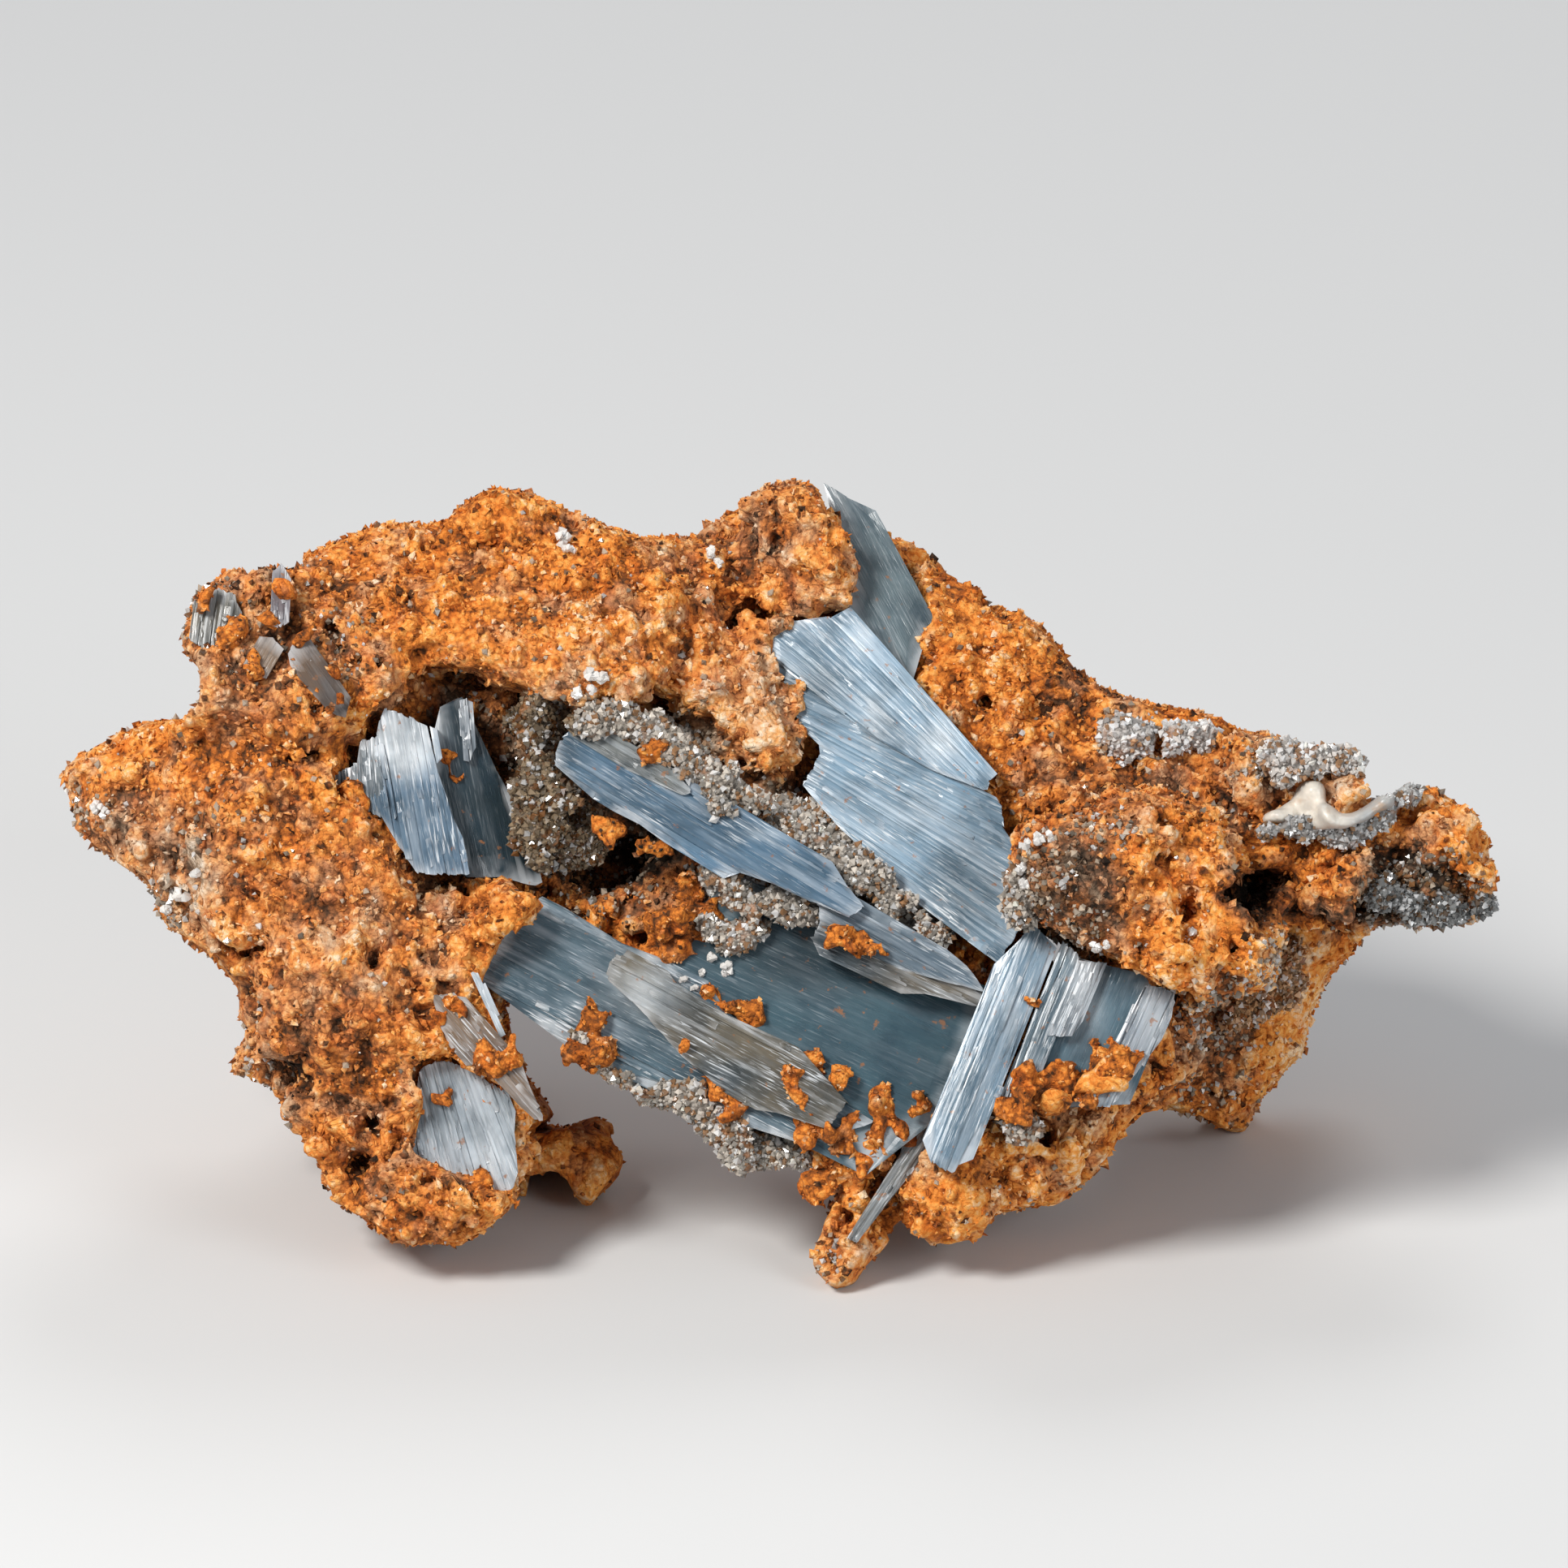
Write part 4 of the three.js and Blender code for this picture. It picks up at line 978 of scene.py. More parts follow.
def crust_surface(name, drawn_in, lumpy):
    """A crust's body, built on the CAD node, broken into small lumps and kept inside the silhouette."""
    points, triangles = node_mesh(name)
    box = Box(points.min(axis=0) - 1.5, points.max(axis=0) + 1.5, voxel(0.28))
    field = blurred(level_set(box, points, triangles), 0.35 / box.size) + drawn_in - 0.15
    lumps = 0.36 * noise(box, 2.6, 40) + 0.34 * (np.abs(noise(box, 1.4, 41)) - 0.6)
    field -= lumpy * (lumps + 0.16 * noise(box, 0.7, 42))
    edge = silhouette_edge(box) + 0.25 + 0.2 * noise(box, 1.3, 60)
    field = smooth_common(field, edge, 0.5)
    _, b, c = box.planes()
    return finished_surface(box, np.maximum(field, 0.05 - above_floor(b, c)).astype(np.float32))


def crystal_colours(tint, count, rng):
    """Tints of single crystals: many near their crust's, and some white, smoky or brown with rust."""
    kinds = np.array([0.35 * tint + 0.48, 1.25 * tint, 0.62 * tint, 0.6 * tint * (1, 0.6, 0.34)])
    colour = kinds[rng.choice(len(kinds), count, p=(0.16, 0.40, 0.24, 0.20)), np.arange(count)]
    return np.clip(colour * np.exp(rng.normal(0, 0.18, (count, 1))), 0, 0.92)


def crystal_mesh(name, places, normals, small, large, tint, wander, rng):
    """Small quartz crystals standing on places, as one mesh."""
    clear = well_above_floor(places)
    tint = np.broadcast_to(tint, places.shape)[clear]
    places, normals, count = places[clear], normals[clear], int(clear.sum())
    size = small + (large - small) * rng.uniform(0, 1, (count, 1)) ** 1.8
    sizes = size * np.column_stack([np.ones(count), np.ones(count), rng.uniform(0.9, 1.5, count)])
    frames = turned_frames(normals, rng, wander)
    places_out = places + 0.3 * size * normals
    gems, faces = scattered(OCTAHEDRON, OCTAHEDRON_FACES, places_out, frames, sizes, rng, 0.12)
    colour = np.repeat(crystal_colours(tint, count, rng), len(OCTAHEDRON), axis=0)
    return mesh_object(name, gems, [faces], smooth=False, tint=colour)


def facing_front(points, normals):
    """Crystals stand mostly where they are seen from the front."""
    return 0.15 + np.clip(normals[:, 2] + 0.3, 0, 1)


def drusy_crust(ending, crust_shape, count, small, large, tint_at, materials, rng, nodes=()):
    """A quartz crust as two pieces: a lumpy body, and the small crystals that it is closely set with."""
    points, triangles, quads, relief = crust_shape
    body_material, crystal_material = materials
    body = mesh_object("crust_" + ending, points, [triangles, quads], numbers={"relief": relief},
                       tint=tint_at(points))
    place(body, body_material, "quartz", *nodes)
    places, normals = surface_samples(points, as_triangles(triangles, quads), facing_front, count, rng)
    crystals = crystal_mesh("druse_" + ending, places, normals, small, large, tint_at(places), 0.5, rng)
    place(crystals, crystal_material, "quartz", *nodes)


def druse(node, count, small, large, drawn_in, lumpy, tint, materials, seed):
    """A quartz crust built on its CAD node."""
    crust_shape = crust_surface(node, drawn_in, lumpy)
    drusy_crust(node.removeprefix("quartz_"), crust_shape, count, small, large, lambda places: tint,
                materials, np.random.default_rng(seed), [node])


# Where small crystals are strewn over the rock itself: a, b, half sizes, and how thickly.
STREWN = [
    (-15.8, 35.0, 3.4, 5.0, 1.0),
    (-9.5, 38.6, 3.6, 1.4, 1.0),
    (-3.0, 33.6, 3.6, 1.4, 1.0),
    (3.5, 29.6, 3.6, 1.6, 1.0),
    (-12.5, 28.0, 3.4, 3.4, 0.4),
    (-7.0, 20.5, 2.4, 2.2, 0.5),
    (-3.0, 27.4, 3.4, 2.0, 0.9),
    (-5.5, 11.0, 6.0, 3.0, 0.8),
    (18.0, 28.4, 2.4, 2.8, 1.0),
    (19.5, 24.4, 2.6, 2.4, 0.5),
    (22.0, 31.5, 2.6, 1.4, 0.6),
    (-48.2, 33.0, 2.0, 1.8, 0.5),
    (-42.2, 26.6, 1.8, 2.0, 0.6),
    (-39.0, 31.5, 3.0, 2.0, 0.25),
    (-37.0, 14.0, 1.6, 2.4, 0.4),
    (-39.0, 46.0, 2.4, 2.4, 0.4),
    (-31.0, 44.0, 3.0, 2.4, 0.3),
    (34.0, 36.2, 3.6, 1.4, 0.8),
    (38.4, 36.3, 2.6, 1.0, 1.0),
    (44.0, 27.2, 5.0, 2.6, 1.0),
    (30.5, 18.6, 3.4, 2.6, 0.8),
    (33.6, 22.4, 1.8, 2.2, 0.8),
    (24.0, 37.8, 2.6, 2.0, 0.5),
    (30.0, 13.0, 3.0, 2.4, 0.25),
    (-22.0, 39.4, 3.0, 3.0, 0.3),
    (2.4, 1.4, 2.0, 1.8, 0.5),
    (16.5, 11.4, 1.8, 0.9, 1.0),
]


def strewn_weight(points, normals):
    """How thickly crystals are strewn over the rock, and a few everywhere."""
    total = np.full(len(points), 0.02)
    for *spot, thick in STREWN:
        reach = squared_reach(points[:, 0], points[:, 1], spot)
        total = np.maximum(total, thick * np.exp(-0.9 * reach ** 2))
    return total * np.clip(normals[:, 2] + 0.4, 0, 1)


def strewn_piece(rock, material, count, seed):
    """Small quartz crystals on the rock."""
    rng = np.random.default_rng(seed)
    places, normals = surface_samples(*rock, strewn_weight, count, rng)
    thing = crystal_mesh("druse_on_rock", places, normals, 0.11, 0.32, (0.40, 0.32, 0.24), 0.6, rng)
    place(thing, material, "quartz")


# Larger pale grains of quartz: a, b, radius in mm.
BALLS = [
    (-4.9, 22.7, 0.42), (-5.6, 21.7, 0.32), (-4.0, 21.9, 0.55), (-7.0, 21.2, 0.36), (-6.2, 20.6, 0.3),
    (-15.3, 51.7, 0.62), (-14.9, 51.0, 0.45), (-5.0, 50.7, 0.5), (-4.6, 50.0, 0.35),
    (-13.4, 42.0, 0.6), (-12.6, 42.1, 0.55), (-14.2, 41.0, 0.5), (-13.2, 41.2, 0.4),
    (-41.8, 27.0, 0.6), (-42.6, 26.0, 0.5), (-40.5, 28.5, 0.45), (-47.6, 33.0, 0.5), (-47.0, 32.6, 0.4),
    (16.5, 30.6, 0.5), (17.4, 30.9, 0.55), (16.2, 28.8, 0.5), (16.4, 27.8, 0.4), (18.4, 31.0, 0.4),
    (28.0, 24.7, 0.42), (21.4, 23.4, 0.4), (22.1, 23.7, 0.35),
]


def height_near(points, a, b, reach):
    """Height of the frontmost point within reach of a place, or 0 where there is none."""
    near = np.hypot(points[:, 0] - a, points[:, 1] - b) < reach
    return points[near, 2].max() if near.any() else 0


def balls_piece(rock_points, material):
    """The larger pale grains, each a rough lump on whatever lies at its place."""
    rng = np.random.default_rng(60)
    lumps = []
    for a, b, radius in BALLS:
        height = blade_height(a, b, height_near(rock_points, a, b, 0.6))
        for _ in range(7):
            spread = rng.normal(0, 0.3 * radius, 3)
            lumps.append(((a, b, height + 0.2 * radius) + spread, radius * rng.uniform(0.45, 0.75)))
    places = np.array([place_at for place_at, _ in lumps])
    sizes = np.array([[size, size, size] for _, size in lumps])
    frames = turned_frames(np.tile((0.0, 0.0, 1.0), (len(lumps), 1)), rng, 0.6)
    gems, faces = scattered(CRYSTAL_POINTS, CRYSTAL_FACES, places, frames, sizes, rng, 0.15)
    tone = rng.uniform(0.7, 0.95, (len(lumps), 1)) * np.array([(1.0, 0.96, 0.91)])
    tint = np.repeat(tone, len(CRYSTAL_POINTS), axis=0)
    place(mesh_object("quartz_grains", gems, [faces], smooth=False, tint=tint), material, "quartz")


# ------------------------------------------------------------------ what grows on blades and arm

# Bits of limonite grown on the blades: a path of [a, b], its half width, and the height of what lies
# under it where that isn't a barite face.
BITS = [
    ([(-11.8, 31.9), (-8.5, 30), (-5.3, 27.4)], 0.65, 0.2),  # bridge over the middle hollow
    ([(-8.2, 22.2), (-7.4, 23.6), (-6.4, 24.9), (-5.4, 25.6)], 1.15, 1.6),  # large flake
    ([(-8.6, 23.2), (-7.6, 25.2), (-6, 26.2)], 0.7, 1.6),
    ([(-13.9, 15.4), (-13.4, 17.2), (-13, 19.4)], 0.95, 1.0),  # lump on the slab's left edge
    ([(-6.7, 16.4)], 0.8, 2.4),
    ([(-5.5, 20.5), (-2.3, 18.6)], 0.42, 1.6),
    ([(-3.5, 21)], 0.65, 1.6),
    ([(-5.4, 13.5), (-3.2, 12.6)], 0.7, 1.6),
    ([(2.2, 7.4), (3.4, 8.6), (3.2, 11)], 1.0, 0.6),  # branching growth at the slab's foot
    ([(3.2, 11), (2.3, 16.3)], 0.5, 2.0),
    ([(3.4, 11), (4, 15.8)], 0.45, 2.0),
    ([(3.4, 9.5), (5, 12.8)], 0.5, 2.0),
    ([(2.8, 10.5), (0.8, 14)], 0.45, 2.0),
    ([(2, 9.2), (1, 12.2)], 0.55, 2.0),
    ([(6.3, 8.6), (6.6, 13)], 0.62, 1.6),
    ([(7.4, 9), (8, 11.8)], 0.6, 1.6),
    ([(9.4, 12.2)], 0.6, 2.0),
    ([(-9.5, 36.9)], 0.5, 2.2),
    ([(4.4, 24.4), (6.2, 22.7)], 0.45, 4.0),
    ([(17.3, 19.6)], 0.6, 4.8),
    ([(14.9, 12.5), (16.6, 13.3), (18.6, 13.1), (20.3, 13.9), (21.8, 14.7)], 1.0, 5.0),  # foot of the block
    ([(15.8, 13.1), (17.6, 13.7), (19.6, 13.6), (21.2, 14.1)], 0.85, 5.0),
    ([(16.3, 13.4), (16.3, 14.7)], 0.5, 5.0),
    ([(21.3, 14.4), (21.6, 16.2)], 0.55, 5.0),
    ([(22.4, 15.0), (23.3, 15.6), (24.1, 17.1)], 0.42, 5.0),
    ([(-23.3, 18.8), (-22, 17.6)], 0.6, 3.4),
    ([(-20.6, 16.2), (-19.6, 15.2)], 0.5, 3.6),
    ([(-24.4, 13.4), (-23.4, 12.6)], 0.75, 1.2),
    ([(-21.3, 6.6), (-19.8, 6)], 0.7, 1.0),
    ([(-23.6, 37.6), (-23.2, 35.8), (-22.9, 34)], 0.16, -0.6),  # seam between the left blades
    ([(-40.7, 46.7), (-40, 47.5)], 0.5, 0.8),  # crumbs on the plates of the upper left knob
    ([(-38.4, 44.9), (-37.8, 45.8)], 0.5, 1.2),
    ([(-38.4, 47.6)], 0.45, 0.8),
    ([(-35.5, 46.2)], 0.35, 1.6),
    ([(-34.4, 48.2)], 0.35, 1.0),
    ([(-36.8, 42.8), (-36.6, 44.2)], 0.4, 2.2),
    ([(-33.2, 44)], 0.5, 2.2),
    ([(-31.2, 40), (-30.4, 40.8)], 0.45, 2.4),
    ([(-31, 42.6)], 0.4, 2.3),
    ([(-30.4, 33.8), (-29, 33.2)], 0.5, 0.8),
]


def along_path(path, spacing, fewest=1):
    """Places along a path of [a, b], with at least so many steps to a stretch."""
    spots = [path[0]] if len(path) == 1 else []
    for (a0, b0), (a1, b1) in zip(path, path[1:]):
        steps = max(fewest, int(math.hypot(a1 - a0, b1 - b0) / spacing) + 1)
        spots += [(a0 + (a1 - a0) * i / steps, b0 + (b1 - b0) * i / steps) for i in range(steps + 1)]
    return spots


EMPTY = 3.0  # mm, the distance that a field without anything in it holds


def grown(box, paths, flat, rng):
    """A field of lumps set along paths, each on the barite face under it or at the height given."""
    field = np.full(box.shape, EMPTY, np.float32)
    for path, half, height in paths:
        for a, b in along_path(path, 0.7 * half, 2):
            wide, deep = half * rng.uniform(0.6, 1.25), half * rng.uniform(0.6, 1.25)
            low = min(0.85 * half, 0.75)
            foot = height if flat else blade_height(a, b, height)
            spot = (a + rng.normal(0, 0.3 * half), b + rng.normal(0, 0.3 * half), foot + 0.15 * low)
            stamp(box, field, (*spot, wide, deep, low), 0.3, smooth_union)
    return field


def bits_piece(material):
    """The bits of limonite on the blades, as one mesh."""
    box = Box((-43, 3, -10), (27, 50, 8), voxel(0.24))
    field = grown(box, BITS, False, np.random.default_rng(21))
    lumps = 0.30 * noise(box, 1.3, 50) + 0.34 * (0.7 - np.abs(noise(box, 0.8, 51)))
    field -= lumps + 0.22 * noise(box, 0.55, 52)
    points, triangles, quads, relief = finished_surface(box, field)
    limonite_piece("limonite_bits", points, [triangles, quads], material, relief, -0.3, -0.4)
    return points, as_triangles(triangles, quads)


# Quartz crusts that run on from the seams onto the blades' edges: path, half width and height c.
QUARTZ_PATHS = [
    ([(-13.4, 39.4), (-10.5, 38.8), (-8.3, 37.6)], 0.75, 1.6),
    ([(-7.4, 36.9), (-5.2, 35.4), (-3.4, 34.2), (-1.4, 33.1)], 0.95, 2.0),
    ([(-4.6, 32.9), (-3.4, 32.4)], 0.65, 2.9),
    ([(0.4, 32.0), (2.4, 30.6), (4.4, 29.2), (6.4, 27.6), (8.4, 26.2), (10.2, 25.0)], 0.85, 1.6),
    ([(-5.0, 27.9), (-2.6, 27.2), (-0.6, 26.3), (1.6, 25.4), (3.6, 25.0)], 0.85, 1.5),
    ([(-5.6, 24.6), (-3.6, 24.0), (-2.0, 25.0)], 0.7, 0.4),
    ([(-14.2, 16.5)], 0.55, 1.2),
    ([(-13.2, 15.0), (-11, 14.2), (-9, 13.6), (-7, 12.7)], 0.7, 1.2),
    ([(-6.2, 12), (-4.4, 10.7), (-3.2, 9.5)], 1.15, 1.2),
    ([(-4, 9.5), (-2.3, 8.9)], 1.0, 0.9),
    ([(-17.6, 38.8), (-17.2, 36.2), (-16.8, 33.8), (-15.6, 31.4)], 1.2, 0.1),
    ([(-18.2, 31), (-16.4, 29.8)], 0.9, -0.5),
    ([(16.2, 26.8), (16.6, 28.6), (17.4, 30.2), (18.9, 31.2)], 0.85, 6.2),
    ([(15.6, 11.7), (17.4, 11.2)], 0.55, 4.2),
]


def path_tint(points):
    """Grey-white, and brown in the pocket left of the middle blade."""
    return np.where(points[:, :1] < -14.4, (0.24, 0.175, 0.11), (0.52, 0.465, 0.40))


def crust_on_blades(materials):
    """The quartz crusts along the blades' edges."""
    rng = np.random.default_rng(23)
    box = Box((-20, 6, -4), (20, 42, 8), voxel(0.27))
    field = grown(box, QUARTZ_PATHS, True, rng)
    field -= 0.25 * noise(box, 1.6, 54) + 0.25 * (np.abs(noise(box, 1.0, 55)) - 0.6)
    field = np.maximum(field, silhouette_edge(box) + 0.2).astype(np.float32)
    crust_shape = finished_surface(box, field)
    drusy_crust("on_blades", crust_shape, int(3800 * SHARE), 0.12, 0.34, path_tint, materials, rng)


# The smooth white ridge on the right arm and the tongue that it sends up: paths and half widths.
WHITE_RIDGE = [
    ([(33.4, 32.3), (35, 32.5), (37, 32.2), (38.6, 32)], 0.3),
    ([(35, 32.8), (36.5, 34.3)], 0.36),
    ([(35.9, 32.8), (36.7, 34)], 0.36),
    ([(36.6, 34.4), (36.9, 33.2), (37.7, 32.4)], 0.28),
    ([(38.6, 32), (40.2, 32.7), (41.6, 33.7), (43.2, 34.5)], 0.28),
]


def white_ridge_piece(rock_points, material):
    """The white ridge, lying on the rock."""
    box = Box((31, 29, -8), (45, 37, 5), voxel(0.2))
    field = np.full(box.shape, EMPTY, np.float32)
    for path, half in WHITE_RIDGE:
        for a, b in along_path(path, 0.3):
            height = height_near(rock_points, a, b, 1.0)
            stamp(box, field, (a, b, height - 0.25, half, half, 0.6), 0.5, smooth_union)
    field -= 0.12 * noise(box, 1.4, 56) + 0.07 * noise(box, 0.7, 57)
    field = np.maximum(field, silhouette_edge(box) + 0.1).astype(np.float32)
    points, triangles, quads = surface(box, field, SMALLEST_BIT, 0.05)
    grey = np.clip((points[:, :1] - 37.6) / 2.4, 0, 1)
    tint = (1 - grey) * np.array([(0.70, 0.645, 0.56)]) + grey * np.array([(0.36, 0.36, 0.35)])
    thing = mesh_object("ridge_white", points, [triangles, quads], tint=tint)
    place(thing, material, "quartz", "quartz_ridge_white")


def block_crust(material):
    """The limonite crust on the foot of the right block."""
    points, triangles, quads, relief = crust_surface("limonite_crust_block", -0.15, 1.0)
    limonite_piece("crust_block", points, [triangles, quads], material, relief, -0.06, -0.4,
                   nodes=["limonite_crust_block"])


# ------------------------------------------------------------------ laths

SHORTEST = 0.4  # the shortest stretch of a facet that gets a lath
THIN = 0.4  # depth of the laths that lie on the full layer
SHORTEST_THIN = 0.8  # length of the shortest of them
THIN_WIDTHS = (0.15, 0.55)


def crossings(outline, pivot, angle):
    """The stretches of a line from the pivot that lie inside an outline, as (start, end) distances."""
    along = (math.cos(angle), math.sin(angle))
    found = []
    for (a0, b0), (a1, b1) in zip(outline, outline[1:] + outline[:1]):
        side0 = (a0 - pivot[0]) * along[1] - (b0 - pivot[1]) * along[0]
        side1 = (a1 - pivot[0]) * along[1] - (b1 - pivot[1]) * along[0]
        if (side0 > 0) != (side1 > 0):
            share = side0 / (side0 - side1)
            a, b = a0 + share * (a1 - a0), b0 + share * (b1 - b0)
            found.append((a - pivot[0]) * along[0] + (b - pivot[1]) * along[1])
    found.sort()
    return list(zip(found[::2], found[1::2]))


def outline_ends(facet, turn, span):
    """Where the strands of a lath start and end on the facet's outline, with the tuck at both ends."""
    ends = np.array([span] * len(turn))
    for i, angle in enumerate(turn):
        stretches = crossings(facet["outline"], facet["pivot"], angle)
        overlaps = [min(stop, span[1]) - max(start, span[0]) for start, stop in stretches]
        if overlaps and max(overlaps) > 0.3:
            ends[i] = stretches[overlaps.index(max(overlaps))]
    return ends + (-facet["tuck"], facet["tuck"])


def bar_faces(rows, size):
    """The sides of a bar with rows of so many points round it, as quads, and its ends as triangles."""
    grid = np.arange(rows * size).reshape(rows, size)
    here, after = grid[:-1], grid[1:]
    around = [here, after, np.roll(after, -1, axis=1), np.roll(here, -1, axis=1)]
    quads = np.stack(around, axis=-1).reshape(-1, 4)
    caps = np.array([
        (grid[end][0], grid[end][i], grid[end][i + 1]) for end in (0, -1) for i in range(1, size - 1)])
    caps[size - 2:] = caps[size - 2:, ::-1]
    return quads, caps


def lath_mesh(facet, angles, span, lift, roll, depth, crest_angle, radius, rng, whole=True):
    """One lath: a thin closed bar with fine strands along its face and ragged ends.

    A whole lath's ends follow the facet's outline. Others keep to their span.
    """
    calm = facet["calm"]
    strand = 0.45 if calm else 0.14  # mm across from one strand to the next
    stride = 1.6 if calm else 1.0  # mm along from one row of points to the next
    columns = max(3, int((angles[1] - angles[0]) * radius / strand) + 1)
    rows = max(4, int((span[1] - span[0]) / stride) + 2)
    turn = np.linspace(angles[0], angles[1], columns)
    ends = outline_ends(facet, turn, span) if whole else np.array([span] * columns)
    ragged = 0.1 if calm else 0.25
    ends[:, 0] += rng.uniform(0, ragged, columns)
    ends[:, 1] -= rng.uniform(0, ragged, columns)
    along = ends[:, 0] + np.linspace(0, 1, rows)[:, None] * (ends[:, 1] - ends[:, 0])
    a = facet["pivot"][0] + along * np.cos(turn)
    b = facet["pivot"][1] + along * np.sin(turn)
    across = (turn - turn.mean()) * radius
    height = facet_height(facet, a, b) + lift + roll * across
    height -= facet["crest"] * np.abs(turn - crest_angle) * radius
    fine = 0.003 if calm else 0.007
    height += rng.normal(0, fine, columns) + rng.normal(0, 0.3 * fine, (rows, columns))
    height[:, (0, -1)] -= 0.01 if calm else 0.03
    for end in (0, -1):
        height[end] -= rng.uniform(0.02, 0.16, columns)
    top = np.stack([a, b, height], axis=-1)
    low = top[:, (-1, 0)] - (0, 0, depth)
    points = np.concatenate([top, low], axis=1).reshape(-1, 3)
    size = columns + 2
    quads, caps = bar_faces(rows, size)
    end = np.zeros((rows, size))
    end[(0, -1), :] = 1
    strands = np.stack([
        np.tile(np.concatenate([turn, turn[(-1, 0),]]) * radius, (rows, 1)),
        np.concatenate([along, along[:, (-1, 0)]], axis=1),
        np.full((rows, size), rng.uniform(0, 60)),
    ], axis=-1)
    return points, quads, caps, end.ravel(), strands.reshape(-1, 3)


def facet_laths(facet, rng):
    """The laths of a facet: a full layer, and thin ones lying on it."""
    outline, pivot = facet["outline"], facet["pivot"]
    turns = [math.atan2(b - pivot[1], a - pivot[0]) for a, b in outline]
    radius = float(np.mean([math.hypot(a - pivot[0], b - pivot[1]) for a, b in outline]))
    low, high = min(turns), max(turns)
    crest_angle = (low + high) / 2
    narrow, wide = facet["laths"]
    calm = facet["calm"]
    made = []
    turn = low
    while turn < high - 0.1 / radius:
        step = rng.uniform(narrow, wide) / radius
        edge = min(turn + step, high)
        for start, stop in crossings(outline, pivot, (turn + edge) / 2):
            if stop - start > SHORTEST:
                lift = rng.normal(0, 0.02 if calm else 0.06)
                roll = rng.normal(0, 0.01 if calm else 0.045)
                made.append(lath_mesh(facet, (turn, edge), (start, stop), lift, roll, facet["depth"],
                                      crest_angle, radius, rng))
        turn = edge
    if calm:
        return made
    count = int(1.6 * (high - low) * radius / ((narrow + wide) / 2))
    for _ in range(count):
        middle = rng.uniform(low, high)
        half = 0.5 * rng.uniform(*THIN_WIDTHS) / radius
        for start, stop in crossings(outline, pivot, middle):
            length = (stop - start) * rng.uniform(0.2, 0.6)
            if length > SHORTEST_THIN:
                first = rng.uniform(start, stop - length)
                lift = rng.uniform(0.03, 0.13)
                made.append(lath_mesh(facet, (middle - half, middle + half), (first, first + length), lift,
                                      rng.normal(0, 0.06), THIN, crest_angle, radius, rng, whole=False))
    return made


def barite_tints(points, tint):
    """A facet's tint at points, paler or deeper where the table of barite tones says, which also paints
    highlights and a shadow.
    """
    paler = np.zeros(len(points))
    for *spot, more in BARITE_TONES:
        paler += more * np.exp(-0.8 * squared_reach(points[:, 0], points[:, 1], spot) ** 1.5)
    up, down = np.clip(paler, 0, 1)[:, None], np.clip(-paler, 0, 1)[:, None]
    return tint * (1 - up - down) + np.array(FROST_AND_HIGHLIGHT) * up + np.array(DEEP_AND_SHADOW) * down


def crystal_piece(node, material, seed):
    """One barite crystal, as a joined mesh of its laths."""
    rng = np.random.default_rng(seed)
    points, quads, caps, ends, strands, tints, streaks = [], [], [], [], [], [], []
    start = 0
    for facet in CRYSTALS[node]:
        for lath_points, lath_quads, lath_caps, end, strand in facet_laths(facet, rng):
            points.append(lath_points)
            quads.append(lath_quads + start)
            caps.append(lath_caps + start)
            ends.append(end)
            strands.append(strand)
            tint = np.array(facet["tint"]) * rng.uniform(0.88, 1.12)
            streaks.append(np.full(len(lath_points), 0.15 if facet["calm"] else 1.0))
            tints.append(barite_tints(lath_points, tint))
            start += len(lath_points)
    faces = [np.vstack(quads), np.vstack(caps)]
    thing = mesh_object(
        node.replace("barite", "blades"), np.vstack(points), faces, smooth=False,
        numbers={"end": np.concatenate(ends), "streaks": np.concatenate(streaks)},
        tint=np.vstack(tints), strands=np.vstack(strands))
    slot = "barite_coated" if "knob" in node or "spear" in node else "barite"
    place(thing, material, slot, node)


# ------------------------------------------------------------------ materials

